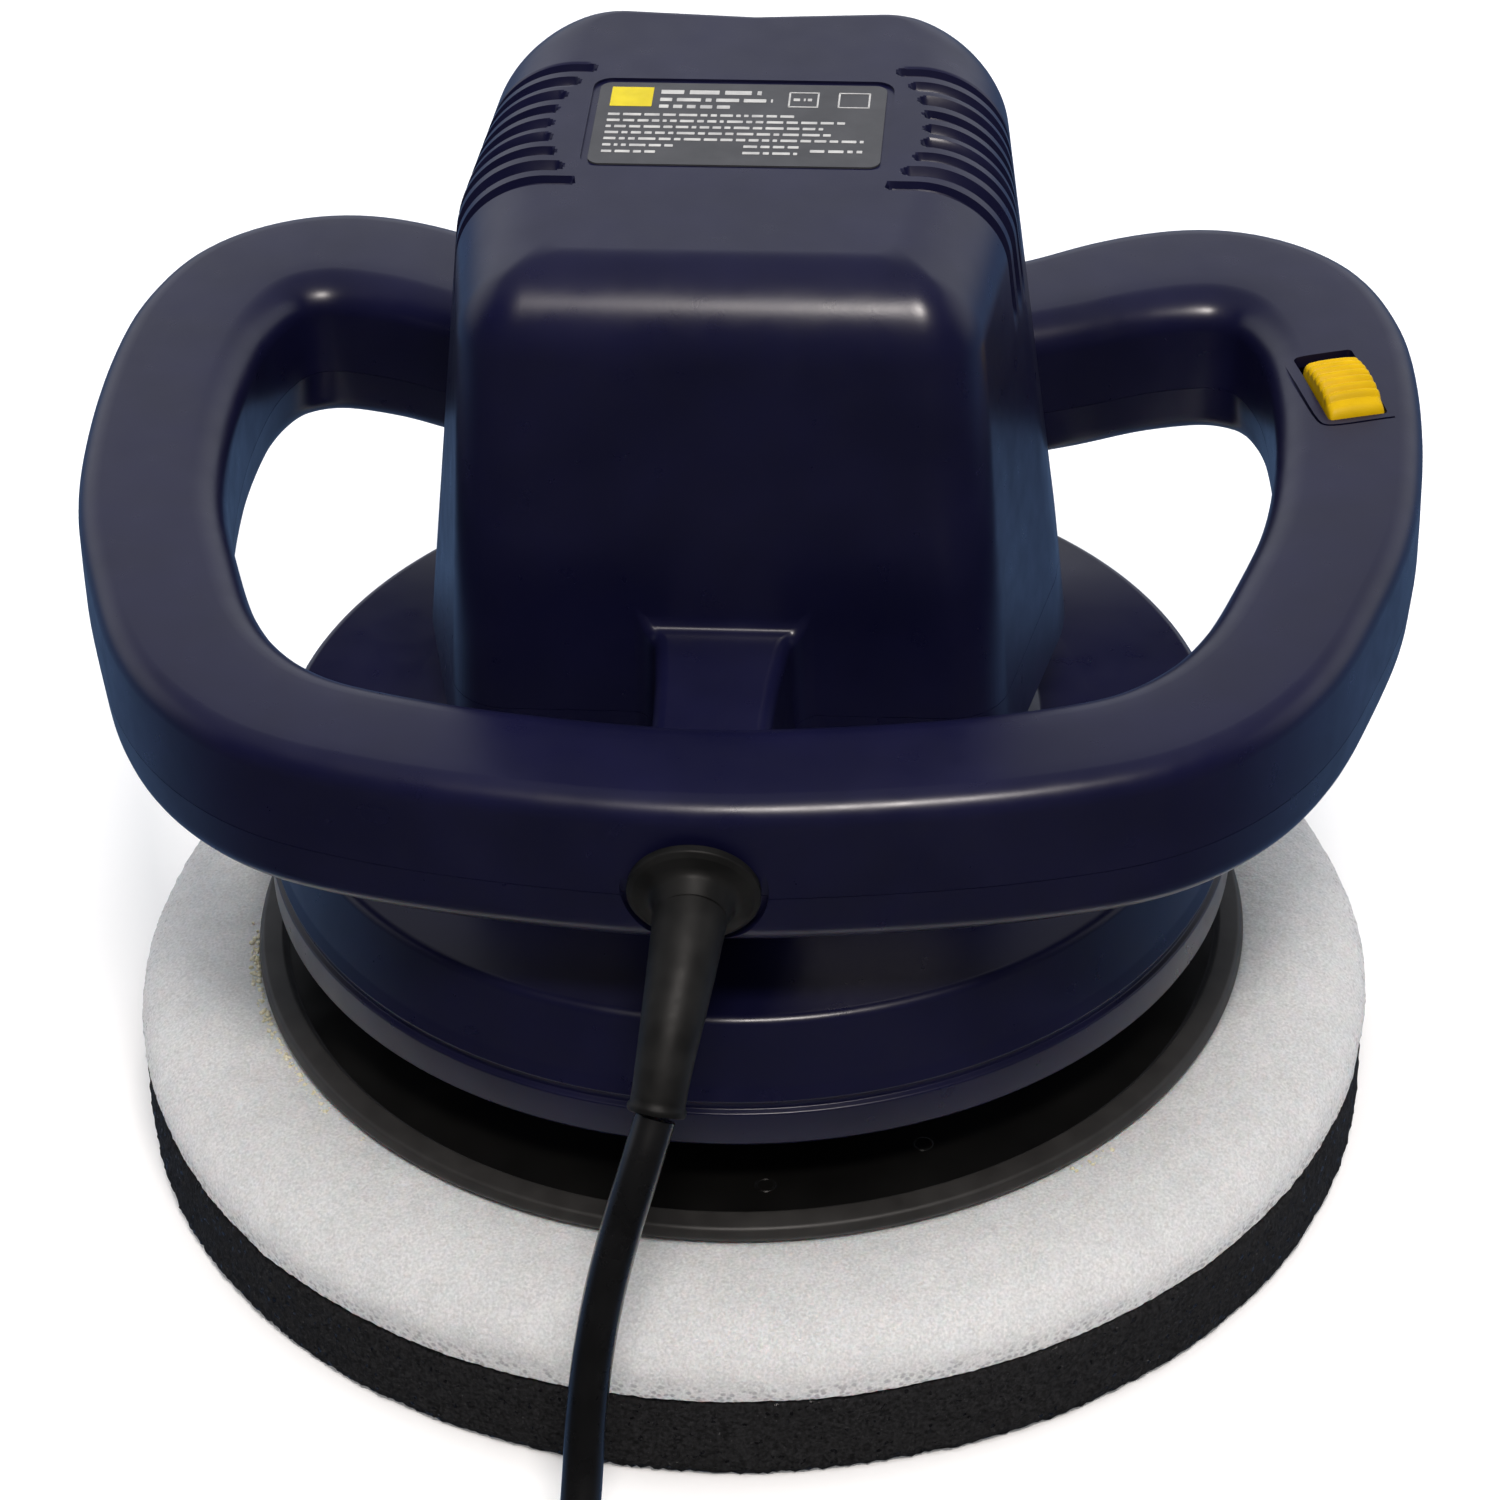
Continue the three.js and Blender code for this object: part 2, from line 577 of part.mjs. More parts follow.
function strainRelief() {
  const boot = taper(BOOT_ROUTE, [
    [0.02, 5.9], [0.205, 5.9], [0.3, 6.5], [0.4, 6.25], [0.5, 6], [0.6, 5.7], [0.7, 5.4],
    [0.8, 5.1], [0.9, 4.85], [0.965, 4.8], [0.968, 5.2], [1, 5.2],
  ], 12);
  const flange = atGland(turned([
    [0, -0.6], [FLANGE_R, -0.6], [FLANGE_R, 0.9], [FLANGE_R - 1.2, 1.9], [8, 3], [0, 3.4],
  ], 24));
  const collar = atGland(turned([[0, -7], [8.4, -7], [8.4, -5.2], [0, -5.2]], 16));
  return union(boot, flange, collar);
}

// ---------------------------------------------------------------- motor, fixed parts
function statorCore() {
  const core = prism(rounded([[30, -26, 9], [30, 26, 9], [-30, 26, 9], [-30, -26, 9]], 3),
    CORE_BOTTOM, CORE_TOP);
  const windows = [[-1, -1], [1, -1], [1, 1], [-1, 1]].map(
    ([sx, sy]) => box(9.6, 6.6, 40, sx * 18.5, sy * COIL_OFFSET, CORE_BOTTOM - 5));
  const bore = cylinder(ARMATURE_R + 0.7, CORE_BOTTOM - 1, CORE_TOP + 1, 0, 0, 28);
  return [bore, ...windows].reduce((rest, tool) => rest.subtract(tool), core);
}

function fieldCoil(side) {
  const loop = box(46, 6, 46.6, 0, side * COIL_OFFSET, CORE_BOTTOM - 8.3);
  return loop.subtract(box(28, 8, CORE_TOP - CORE_BOTTOM + 2 * CLEAR, 0, side * COIL_OFFSET,
    CORE_BOTTOM - CLEAR));
}

function upperEndFrame() {
  const bar = box(66.6, 15, 3, 0, 0, 187);
  const legs = [-1, 1].map((side) => box(3, 15, 187.5 - CORE_TOP - CLEAR, side * 31.8, 0,
    CORE_TOP + CLEAR));
  const feet = [-1, 1].map((side) => box(6, 15, 3, side * 28.5, 0, CORE_TOP + CLEAR));
  const { bottom, top, outer } = UPPER_BEARING;
  const cup = cylinder(outer + 3, bottom - 1, top + 2, 0, 0, 24);
  const seat = cylinder(outer + CLEAR, bottom - 2, top + CLEAR, 0, 0, 24);
  return union(bar, ...legs, ...feet, cup).subtract(seat);
}

function lowerEndFrame() {
  const { bottom, top, race, outer } = LOWER_BEARING;
  const roof = top + 3;
  const disc = turned([
    [outer + CLEAR, bottom - 0.8], [outer + 4, bottom - 0.8], [outer + 4, bottom + 5],
    [46.4, top], [48.6, top], [48.6, roof], [outer + 4, roof], [race, roof],
    [race, top + CLEAR], [outer + CLEAR, top + CLEAR],
  ], 32);
  const vents = Array.from({ length: 6 }, (_, i) => {
    const angle = (2 * Math.PI * i) / 6;
    return cylinder(8.5, 80, 96, 32 * Math.cos(angle), 32 * Math.sin(angle), 8);
  });
  return vents.reduce((rest, hole) => rest.subtract(hole), disc);
}

function brushHolder(side) {
  const sleeve = box(15, 10, 11, side * 22, 0, BRUSH_Z - 5.5);
  return sleeve.subtract(box(17, 6.6, 7.6, side * 22, 0, BRUSH_Z - 3.8));
}

const carbonBrush = (side) => box(9, 6, 7, side * 15.6, 0, BRUSH_Z - 3.5);

function brushSpring(side) {
  const turns = 3;
  const points = Array.from({ length: turns * 8 + 1 }, (_, i) => {
    const angle = (2 * Math.PI * i) / 8;
    return [side * (21.2 + (8 * i) / (turns * 8)), 2.2 * Math.cos(angle),
      BRUSH_Z + 2.2 * Math.sin(angle)];
  });
  return wire(points, 0.35, turns * 8, 4);
}

const outerRace = ({ race, outer, bottom, top }) => tube(race, outer, bottom, top, 18);
const innerRace = ({ inner, bottom, top }, axle) => tube(axle + CLEAR, inner, bottom, top, 16);

// ---------------------------------------------------------------- motor, turning parts
const commutator = () => tube(
  SHAFT_R + CLEAR, COMMUTATOR.radius, COMMUTATOR.bottom, COMMUTATOR.top, 18);

const shaft = () => turned([
  [0, SHAFT_BOTTOM], [SHAFT_FOOT_R, SHAFT_BOTTOM], [SHAFT_FOOT_R, SHAFT_STEP_Z],
  [SHAFT_R, SHAFT_STEP_Z], [SHAFT_R, SHAFT_TOP], [0, SHAFT_TOP + 0.6],
], 20);

function armatureCore() {
  const slots = 12;
  const outline = Array.from({ length: slots }, (_, i) => {
    const middle = (360 * i) / slots;
    return [...arc(0, 0, ARMATURE_R, middle - 11, middle + 11, 1),
      ...arc(0, 0, ARMATURE_R - 3.5, middle + 12.5, middle + 17.5, 1)];
  }).flat();
  return prism(outline, CORE_BOTTOM + 0.5, CORE_TOP - 0.5).subtract(
    cylinder(SHAFT_R + CLEAR, CORE_BOTTOM - 1, CORE_TOP + 1, 0, 0, 20));
}

function windingHead(bottom) {
  const top = bottom + 6.6;
  return turned([
    [SHAFT_R + 1, bottom], [13.4, bottom], [14.6, bottom + 2], [14.2, top - 1.6], [12.4, top],
    [SHAFT_R + 1, top],
  ], 18);
}

function coolingFan() {
  const { hub, radius, bottom, disc: under, top, blades } = FAN;
  const disc = turned([
    [SHAFT_FOOT_R + CLEAR, bottom], [hub, bottom], [hub, under], [radius, under],
    [radius, under + 1.5], [hub, under + 1.5], [hub, top], [SHAFT_FOOT_R + CLEAR, top],
  ], 24);
  const vanes = Array.from({ length: blades }, (_, i) => box(
    26, 1.2, 7, (hub + radius) / 2, 0, under + 0.6).rotate([0, 0, (360 * i) / blades + 3]));
  return union(disc, ...vanes);
}

function eccentricWeight() {
  const { bottom, top, radius } = WEIGHT;
  const hub = cylinder(WEIGHT.hub, bottom - 2, top + 5, 0, 0, 24);
  const sector = cylinder(radius, bottom, top, 0, 0, 36).intersect(box(100, 50, 30, 0, 25, 55));
  const cheek = cylinder(11, bottom - 5, SHAFT_BOTTOM, 0, -ORBIT, 24);
  const pin = cylinder(PAD_BEARING.pin, PAD_BEARING.bottom + 0.4, bottom - 2, 0, -ORBIT, 24);
  const shaftHole = cylinder(SHAFT_FOOT_R + CLEAR, SHAFT_BOTTOM - CLEAR, 80, 0, 0, 20);
  const boltHole = cylinder(BOLT_R + CLEAR, 45, 58, 0, -ORBIT, 16);
  return union(hub, sector, cheek, pin).subtract(shaftHole).subtract(boltHole);
}

// ---------------------------------------------------------------- pad
function padBolt() {
  const head = prism(arc(0, 0, 5.8, 0, 300, 5), 39.6, 43.6);
  return head.add(cylinder(BOLT_R, 43, 57.5, 0, 0, 16));
}

function backingPlate() {
  const bottom = FOAM_TOP + CLEAR;
  const floor = bottom + PLATE_T;
  return turned([
    [10.5, bottom], [PLATE_R - 1.2, bottom], [PLATE_R, bottom + 1.4],
    [PLATE_R - 1.4, bottom + PLATE_RIM_H], [PLATE_R - PLATE_RIM_W + 1, bottom + PLATE_RIM_H],
    [PLATE_R - PLATE_RIM_W - 0.6, floor], [HUB_R + 8, floor], [HUB_R + 1.5, floor + 3],
    [HUB_R, HUB_TOP], [PAD_BEARING.outer + CLEAR, HUB_TOP], [PAD_BEARING.outer + CLEAR, SEAT_Z],
    [10.5, SEAT_Z],
  ], 40);
}

function upperFoam() {
  const bottom = LOWER_FOAM_TOP + CLEAR;
  const over = arc(0, 0, 1, 0, 90, 4).map(([c, s]) => [
    PLATE_R + (PAD_R - PLATE_R) * c,
    UPPER_FOAM_SHOULDER + (FOAM_TOP - UPPER_FOAM_SHOULDER) * s,
  ]);
  return turned([[0, bottom], [PAD_R, bottom], ...over, [0, FOAM_TOP]], 44);
}

const lowerFoam = () => turned([
  [0, 0], [LOWER_FOAM_R - LOWER_FOAM_EDGE, 0], [LOWER_FOAM_R, LOWER_FOAM_EDGE],
  [LOWER_FOAM_R, LOWER_FOAM_TOP], [0, LOWER_FOAM_TOP],
], 44);

// ---------------------------------------------------------------- leads inside the shells
// A lead follows the handle ring at an offset from its centre line, between two shares of its length.
function alongBar(from, to, offset, z, count) {
  const path = barPath();
  return Array.from({ length: count }, (_, i) => {
    const at = from + ((to - from) * i) / (count - 1);
    const centre = path.getPointAt(at);
    const along = path.getTangentAt(at);
    return [centre.x + along.y * offset, centre.y - along.x * offset, z];
  });
}

const LEAD_R = 1.3;
const switchLead = () => wire([[3, -87.5, 118], ...alongBar(0.03, 0.235, -7.6, 118, 9),
  [107, 22, 114]], LEAD_R, 26);
const motorLead = () => wire([[107.5, 57.5, 113], ...alongBar(0.33, 0.455, -7.6, 118, 7),
  [27, 51, 124], [29, 40, 136], [27, 32, 152], [25, 20, 164], [24, 8, 168]], LEAD_R, 26);
const neutralLead = () => wire([[-2, -87, 118], [-3, -78, 118], [-4, -60, 118], [-8, -40, 121],
  [-14, -32, 130], [-16, -29.5, 150], [-14, -27.5, 158]], LEAD_R, 14);

// ---------------------------------------------------------------- cord, coil and plug
function cordTube(points, steps) {
  const path = curve(points);
  return solid(new THREE.ExtrudeGeometry(circle(CORD_D / 2, 10), { steps, extrudePath: path }));
}

function cordCoil() {
  const halfWidth = (COIL.columns * CORD_D) / 2;
  const height = COIL.layers * CORD_D;
  const edge = CORD_D / 2;
  const inner = COIL.radius - halfWidth;
  const outer = COIL.radius + halfWidth;
  return turned([
    [inner, edge], [inner + edge * 0.4, edge * 0.3], [inner + edge, 0], [outer - edge, 0],
    [outer - edge * 0.4, edge * 0.3], [outer, edge], [outer, height - edge],
    [outer - edge, height], [inner + edge, height], [inner, height - edge],
  ], 32, COIL.x, COIL.y);
}

function plugBody() {
  const { x, y, z, relief, body: length, width, height } = PLUG;
  const across = (half, high, at) => rounded(
    [[half, -high, 3], [half, high, 3], [-half, high, 3], [-half, -high, 3]], 3).map(
    ([side, up]) => new THREE.Vector3(at, y + side, z + up));
  const stations = [
    [0, 4.6, 4.6], [relief, 5.4, 5.2], [relief + 3, 9.5, 6.4], [relief + 10, width / 2, height / 2],
    [relief + length - 2, width / 2, height / 2], [relief + length, width / 2 - 1, height / 2 - 1],
  ];
  return loft(stations.map(([along, half, high]) => across(half, high, x - CLEAR - along)));
}

function plugBlade(side) {
  const tip = PLUG.x - CLEAR - PLUG.relief - PLUG.body - CLEAR;
  return box(17, 1.5, 6.3, tip - 8.5, PLUG.y + side * 6.35, PLUG.z - 3.15);
}

// ---------------------------------------------------------------- putting it together
const { upper, lower } = shells();
place(housing, 'upper_housing', upper, NAVY());
place(housing, 'lower_housing', lower, NAVY());
place(housing, 'label_plate', labelPlate(), LABEL_GREY());
place(housing, 'strain_relief', strainRelief(), RUBBER());
place(housing, 'switch_body', switchBody(), BLACK_PLASTIC());
place(housing, 'switch_knob', switchKnob(), YELLOW());
place(housing, 'stator_core', statorCore(), STEEL());
place(housing, 'field_coil_front', fieldCoil(-1), COPPER());
place(housing, 'field_coil_back', fieldCoil(1), COPPER());
place(housing, 'upper_end_frame', upperEndFrame(), STEEL());
place(housing, 'lower_end_frame', lowerEndFrame(), STEEL());
place(housing, 'upper_bearing_outer', outerRace(UPPER_BEARING), STEEL());
place(housing, 'lower_bearing_outer', outerRace(LOWER_BEARING), STEEL());
for (const [name, side] of [['left', -1], ['right', 1]]) {
  place(housing, `brush_holder_${name}`, brushHolder(side), BLACK_PLASTIC());
  place(housing, `carbon_brush_${name}`, carbonBrush(side), BLACK_PLASTIC());
  place(housing, `brush_spring_${name}`, brushSpring(side), STEEL());
}
SCREW_PLACES.forEach(([x, y], i) => {
  place(housing, `housing_screw_${i + 1}`, screw(x, y), STEEL());
});
place(housing, 'lead_to_switch', switchLead(), CABLE());
place(housing, 'lead_switch_to_brush', motorLead(), CABLE());
place(housing, 'lead_to_field', neutralLead(), CABLE());

place(housing, 'shaft', shaft(), STEEL());
place(housing, 'armature_core', armatureCore(), STEEL());
place(housing, 'winding_upper', windingHead(CORE_TOP + CLEAR), COPPER());
place(housing, 'winding_lower', windingHead(CORE_BOTTOM - CLEAR - 6.6), COPPER());
place(housing, 'commutator', commutator(), COPPER());
place(housing, 'cooling_fan', coolingFan(), BLACK_PLASTIC());
place(housing, 'upper_bearing_inner', innerRace(UPPER_BEARING, SHAFT_R), STEEL());
place(housing, 'lower_bearing_inner', innerRace(LOWER_BEARING, SHAFT_FOOT_R), STEEL());
place(housing, 'eccentric_weight', eccentricWeight(), STEEL());

place(pad, 'pad_bearing_inner', innerRace(PAD_BEARING, PAD_BEARING.pin), STEEL());
place(pad, 'pad_washer', tube(BOLT_R + CLEAR, 8.4, 44, 45.6, 16), STEEL());
place(pad, 'pad_bolt', padBolt(), STEEL());
place(pad, 'backing_plate', backingPlate(), BLACK_PLASTIC());
place(pad, 'pad_bearing_outer', outerRace(PAD_BEARING), STEEL());
place(pad, 'bearing_circlip', tube(PAD_BEARING.outer - 3, PAD_BEARING.outer,
  PAD_BEARING.top + CLEAR, PAD_BEARING.top + 1.4, 18), STEEL());
place(pad, 'foam_upper', upperFoam(), WHITE_FOAM());
place(pad, 'foam_lower', lowerFoam(), BLACK_FOAM());

place(cord, 'power_cord', cordTube(CORD_ROUTE, 14), CABLE());
place(cord, 'cord_coil', cordCoil(), CABLE());
place(cord, 'cord_tail', cordTube(TAIL_ROUTE, 4), CABLE());
place(cord, 'plug_body', plugBody(), CABLE());
place(cord, 'plug_blade_left', plugBlade(-1), STEEL());
place(cord, 'plug_blade_right', plugBlade(1), STEEL());

export default polisher;
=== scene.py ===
"""Visual model of an orbital polisher, in metres; its shapes are worked out in millimetres.

Z is up and -Y is the front, where the cord leaves.
"""

import math

import bmesh
import bpy
import numpy as np
from mathutils import Matrix, Vector


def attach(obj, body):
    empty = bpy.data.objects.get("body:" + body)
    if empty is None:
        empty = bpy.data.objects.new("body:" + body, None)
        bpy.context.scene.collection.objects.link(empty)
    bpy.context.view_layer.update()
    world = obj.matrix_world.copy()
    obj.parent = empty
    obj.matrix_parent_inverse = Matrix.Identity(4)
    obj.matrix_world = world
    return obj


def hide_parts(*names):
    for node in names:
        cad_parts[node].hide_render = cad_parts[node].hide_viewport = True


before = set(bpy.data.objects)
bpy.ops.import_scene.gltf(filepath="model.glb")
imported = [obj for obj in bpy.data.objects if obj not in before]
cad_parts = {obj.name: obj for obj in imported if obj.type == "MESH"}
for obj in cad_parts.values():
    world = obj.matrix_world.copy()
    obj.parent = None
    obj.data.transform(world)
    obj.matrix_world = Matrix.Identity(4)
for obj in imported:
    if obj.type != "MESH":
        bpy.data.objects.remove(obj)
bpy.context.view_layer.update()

MM = 0.001
ORBIT = 5.5  # the motor axis stands this far behind the pad's axis
CLEAR = 0.3
RIM_FROM = 0.0896  # the backing plate is paler beyond this radius, in metres
WALL = 2.6
rng = np.random.default_rng(7)
scene = bpy.context.scene
scene.view_settings.view_transform = "Standard"


# ---- camera
AZIMUTH, ELEVATION, DISTANCE = math.radians(5.0), math.radians(35.791), 1.0
PAN, TILT, ROLL = math.radians(0.0255), math.radians(-0.3675), math.radians(1.5597)
PIVOT = Vector((0.0007, ORBIT * MM, 0.080))
SENSOR_MM, LENS_MM = 36, 125.71


def make_camera():
    back = Vector((math.sin(AZIMUTH) * math.cos(ELEVATION),
                   -math.cos(AZIMUTH) * math.cos(ELEVATION), math.sin(ELEVATION)))
    right = Vector((math.cos(AZIMUTH), math.sin(AZIMUTH), 0))
    up = right.cross(-back)
    turn = Matrix.Rotation(PAN, 3, up) @ Matrix.Rotation(TILT, 3, right)
    forward = turn @ -back
    rolled = Matrix.Rotation(ROLL, 3, forward) @ turn
    data = bpy.data.cameras.new("camera")
    data.sensor_width = SENSOR_MM
    data.lens = LENS_MM
    data.clip_start, data.clip_end = 0.01, 50
    camera = bpy.data.objects.new("camera", data)
    scene.collection.objects.link(camera)
    axes = Matrix((rolled @ right, rolled @ up, -forward)).transposed()
    camera.matrix_world = Matrix.Translation(PIVOT + DISTANCE * back) @ axes.to_4x4()
    scene.camera = camera


make_camera()


# ---- curves
def catmull(points, closed=False, per=24):
    """A centripetal Catmull-Rom curve through the points, per steps to a span."""
    p = np.array(points, float)
    n = len(p)
    out = []
    for i in range(n if closed else n - 1):
        q = [p[(i + k) % n] for k in (-1, 0, 1, 2)] if closed else [
            p[i - 1] if i > 0 else 2 * p[0] - p[1], p[i], p[i + 1],
            p[i + 2] if i + 2 < n else 2 * p[-1] - p[-2]]
        d = [max(math.sqrt(np.linalg.norm(q[k + 1] - q[k])), 1e-4) for k in range(3)]
        t1 = (q[1] - q[0]) / d[0] - (q[2] - q[0]) / (d[0] + d[1]) + (q[2] - q[1]) / d[1]
        t2 = (q[2] - q[1]) / d[1] - (q[3] - q[1]) / (d[1] + d[2]) + (q[3] - q[2]) / d[2]
        t1, t2 = t1 * d[1], t2 * d[1]
        for s in np.arange(per) / per:
            out.append((2 * s**3 - 3 * s**2 + 1) * q[1] + (s**3 - 2 * s**2 + s) * t1
                       + (-2 * s**3 + 3 * s**2) * q[2] + (s**3 - s**2) * t2)
    if not closed:
        out.append(p[-1])
    return np.array(out)


def run_along(points):
    """Length of a polyline up to each of its points."""
    return np.concatenate([[0], np.cumsum(np.linalg.norm(np.diff(points, axis=0), axis=1))])


def resample(points, count, closed=False):
    """Points at equal steps along a polyline."""
    p = np.vstack([points, points[:1]]) if closed else np.asarray(points)
    run = run_along(p)
    at = np.linspace(0, run[-1], count, endpoint=not closed)
    return np.stack([np.interp(at, run, p[:, k]) for k in range(p.shape[1])], axis=1)


def arc(cx, cy, radius, start, end, steps):
    angle = np.radians(np.linspace(start, end, steps + 1))
    return np.stack([cx + radius * np.cos(angle), cy + radius * np.sin(angle)], axis=1)


def unit(v):
    """Vectors scaled to length one."""
    return v / np.maximum(np.linalg.norm(v, axis=-1, keepdims=True), 1e-9)


def corner_arc(before, corner, after, radius, steps):
    """Points of the arc that rounds one corner of a polyline."""
    back, ahead = unit(before - corner), unit(after - corner)
    half = math.acos(max(-1, min(1, float(back @ ahead)))) / 2
    centre = corner + unit(back + ahead) * radius / math.sin(half)
    start = corner + back * radius / math.tan(half) - centre
    end = corner + ahead * radius / math.tan(half) - centre
    first, last = math.atan2(start[1], start[0]), math.atan2(end[1], end[0])
    turn = (last - first + math.pi) % (2 * math.pi) - math.pi
    angles = [first + turn * k / steps for k in range(steps + 1)]
    return [centre + radius * np.array([math.cos(a), math.sin(a)]) for a in angles]


def rounded(corners, steps=6):
    """A closed polygon whose corners, each [x, y, radius], are rounded."""
    spots = [np.array(c[:2], float) for c in corners]
    out = []
    for i, here in enumerate(spots):
        out += corner_arc(spots[i - 1], here, spots[(i + 1) % len(spots)], corners[i][2], steps)
    return np.array(out)


def fillet(profile, radii, steps=6):
    """Rounds the inner points of an open profile by the given radii."""
    spots = [np.array(p, float) for p in profile]
    out = [spots[0]]
    for i in range(1, len(spots) - 1):
        radius = radii.get(i, 0)
        out += corner_arc(*spots[i - 1:i + 2], radius, steps) if radius else [spots[i]]
    out.append(spots[-1])
    return np.array(out)


def box(x0, y0, x1, y1, radius, steps=6):
    """A rectangle with rounded corners."""
    return rounded([[x0, y0, radius], [x1, y0, radius], [x1, y1, radius], [x0, y1, radius]], steps)


def drum(radius, low, high):
    """Profile of a plain round solid."""
    return [(0, low), (radius, low), (radius, high), (0, high)]


def raised(outline, z):
    """A flat outline lifted to a height."""
    return np.column_stack([outline, np.full(len(outline), z)])


def turned(points, angle, x, y):
    """Plan points turned about the origin and then moved."""
    c, s = math.cos(angle), math.sin(angle)
    return points @ np.array([[c, s], [-s, c]]) + [x, y]


def eased(t):
    return t * t * (3 - 2 * t)


# ---- meshes
def mesh_object(name, verts, faces):
    """A linked object from vertices in millimetres."""
    mesh = bpy.data.meshes.new(name)
    mesh.from_pydata((np.asarray(verts, float) * MM).tolist(), [], faces)
    mesh.validate()
    made = bpy.data.objects.new(name, mesh)
    scene.collection.objects.link(made)
    bm = bmesh.new()
    bm.from_mesh(mesh)
    bmesh.ops.recalc_face_normals(bm, faces=bm.faces)
    bm.to_mesh(mesh)
    bm.free()
    return made


def skin(rings, closed=False, caps=True):
    """Vertices and faces of a tube of rings with equal point counts."""
    rings = [np.asarray(r) for r in rings]
    count = len(rings[0])
    verts = np.vstack(rings)
    faces = []
    for i in range(len(rings) if closed else len(rings) - 1):
        low, high = i * count, ((i + 1) % len(rings)) * count
        faces += [(low + j, low + (j + 1) % count, high + (j + 1) % count, high + j)
                  for j in range(count)]
    if caps and not closed:
        faces.append(tuple(reversed(range(count))))
        faces.append(tuple(range((len(rings) - 1) * count, len(rings) * count)))
    return verts, faces


def lathe(profile, sides=160, at=(0, 0)):
    """A turned solid. The profile of [radius, z] pairs closes on itself unless it meets the axis."""
    profile = np.asarray(profile, float)
    onaxis = profile[0][0] < 1e-6 and profile[-1][0] < 1e-6
    ring = profile[1:-1] if onaxis else profile
    verts, faces = [], []
    for i in range(sides):
        a = 2 * math.pi * i / sides
        verts += [(at[0] + r * math.cos(a), at[1] + r * math.sin(a), z) for r, z in ring]
    n = len(ring)
    for i in range(sides):
        a, b = i * n, ((i + 1) % sides) * n
        for j in range(n - 1 if onaxis else n):
            k = (j + 1) % n
            faces.append((a + j, b + j, b + k, a + k))
    if onaxis:
        verts += [(at[0], at[1], profile[0][1]), (at[0], at[1], profile[-1][1])]
        for i in range(sides):
            a, b = i * n, ((i + 1) % sides) * n
            faces.append((len(verts) - 2, b, a))
            faces.append((len(verts) - 1, a + n - 1, b + n - 1))
    return verts, faces


def prism(outline, bottom, top):
    return skin([raised(outline, z) for z in (bottom, top)])


def boolean(target, tool, operation):
    """Joins a solid to an object, or cuts it away."""
    if isinstance(tool, tuple):
        tool = mesh_object("tool", *tool)
    change = target.modifiers.new("cut", "BOOLEAN")
    change.operation = operation
    change.solver = "MANIFOLD"
    change.object = tool
    graph = bpy.context.evaluated_depsgraph_get()
    mesh = bpy.data.meshes.new_from_object(target.evaluated_get(graph))
    target.modifiers.clear()
    old = target.data
    target.data = mesh
    bpy.data.meshes.remove(old)
    bpy.data.objects.remove(tool)


def copy_of(obj):
    twin = bpy.data.objects.new(obj.name + "_copy", obj.data.copy())
    scene.collection.objects.link(twin)
    return twin


def smooth(obj, degrees):
    obj.data.shade_smooth()
    obj.data.set_sharp_from_angle(angle=math.radians(degrees))
    normals = obj.modifiers.new("normals", "WEIGHTED_NORMAL")
    normals.keep_sharp = True


# ---- materials
class Nodes:
    """Builds the nodes of one tree over one kind of coordinates."""

    def __init__(self, tree, coords):
        self.tree = tree
        self.coords = self.add("ShaderNodeTexCoord").outputs[coords]

    def add(self, kind, **settings):
        node = self.tree.nodes.new(kind)
        for key, value in settings.items():
            setattr(node, key, value)
        return node

    def link(self, source, target):
        self.tree.links.new(source, target)

    def noise(self, size_mm, detail, stretch=None):
        node = self.add("ShaderNodeTexNoise")
        node.inputs["Scale"].default_value = 1 / (size_mm * MM)
        node.inputs["Detail"].default_value = detail
        source = self.coords
        if stretch:
            mapping = self.add("ShaderNodeMapping")
            mapping.inputs["Scale"].default_value = stretch
            self.link(source, mapping.inputs["Vector"])
            source = mapping.outputs["Vector"]
        self.link(source, node.inputs["Vector"])
        return node.outputs["Fac"]

    def cells(self, size_mm, feature="F1", output="Distance"):
        node = self.add("ShaderNodeTexVoronoi", feature=feature)
        node.inputs["Scale"].default_value = 1 / (size_mm * MM)
        self.link(self.coords, node.inputs["Vector"])
        return node.outputs[output]

    def remap(self, source, low, high, to_low, to_high, smoothly=False):
        node = self.add("ShaderNodeMapRange")
        if smoothly:
            node.interpolation_type = "SMOOTHSTEP"
        for key, value in zip(("From Min", "From Max", "To Min", "To Max"),
                              (low, high, to_low, to_high)):
            node.inputs[key].default_value = value
        self.link(source, node.inputs["Value"])
        return node.outputs["Result"]

    def random(self, size_mm):
        """A random value for each cell."""
        split = self.add("ShaderNodeSeparateColor")
        self.link(self.cells(size_mm, "F1", "Color"), split.inputs["Color"])
        return split.outputs[0]

    def blend(self, factor, first, second):
        node = self.add("ShaderNodeMix", data_type="RGBA")
        self.link(factor, node.inputs["Factor"])
        for key, value in (("A", first), ("B", second)):
            socket = [s for s in node.inputs if s.name == key and s.type == "RGBA"][0]
            if isinstance(value, tuple):
                socket.default_value = (*value, 1)
            else:
                self.link(value, socket)
        return [s for s in node.outputs if s.type == "RGBA"][0]

    def math(self, operation, first, second=0.0):
        node = self.add("ShaderNodeMath", operation=operation)
        for socket, value in zip(node.inputs, (first, second)):
            if isinstance(value, (int, float)):
                socket.default_value = value
            else:
                self.link(value, socket)
        return node.outputs["Value"]

    def drift(self, size_mm, detail, low, high, first, second):
        """A blend of two colours that follows noise."""
        return self.blend(self.remap(self.noise(size_mm, detail), low, high, 0, 1), first, second)

    def axis(self, index):
        node = self.add("ShaderNodeSeparateXYZ")
        self.link(self.coords, node.inputs["Vector"])
        return node.outputs[index]


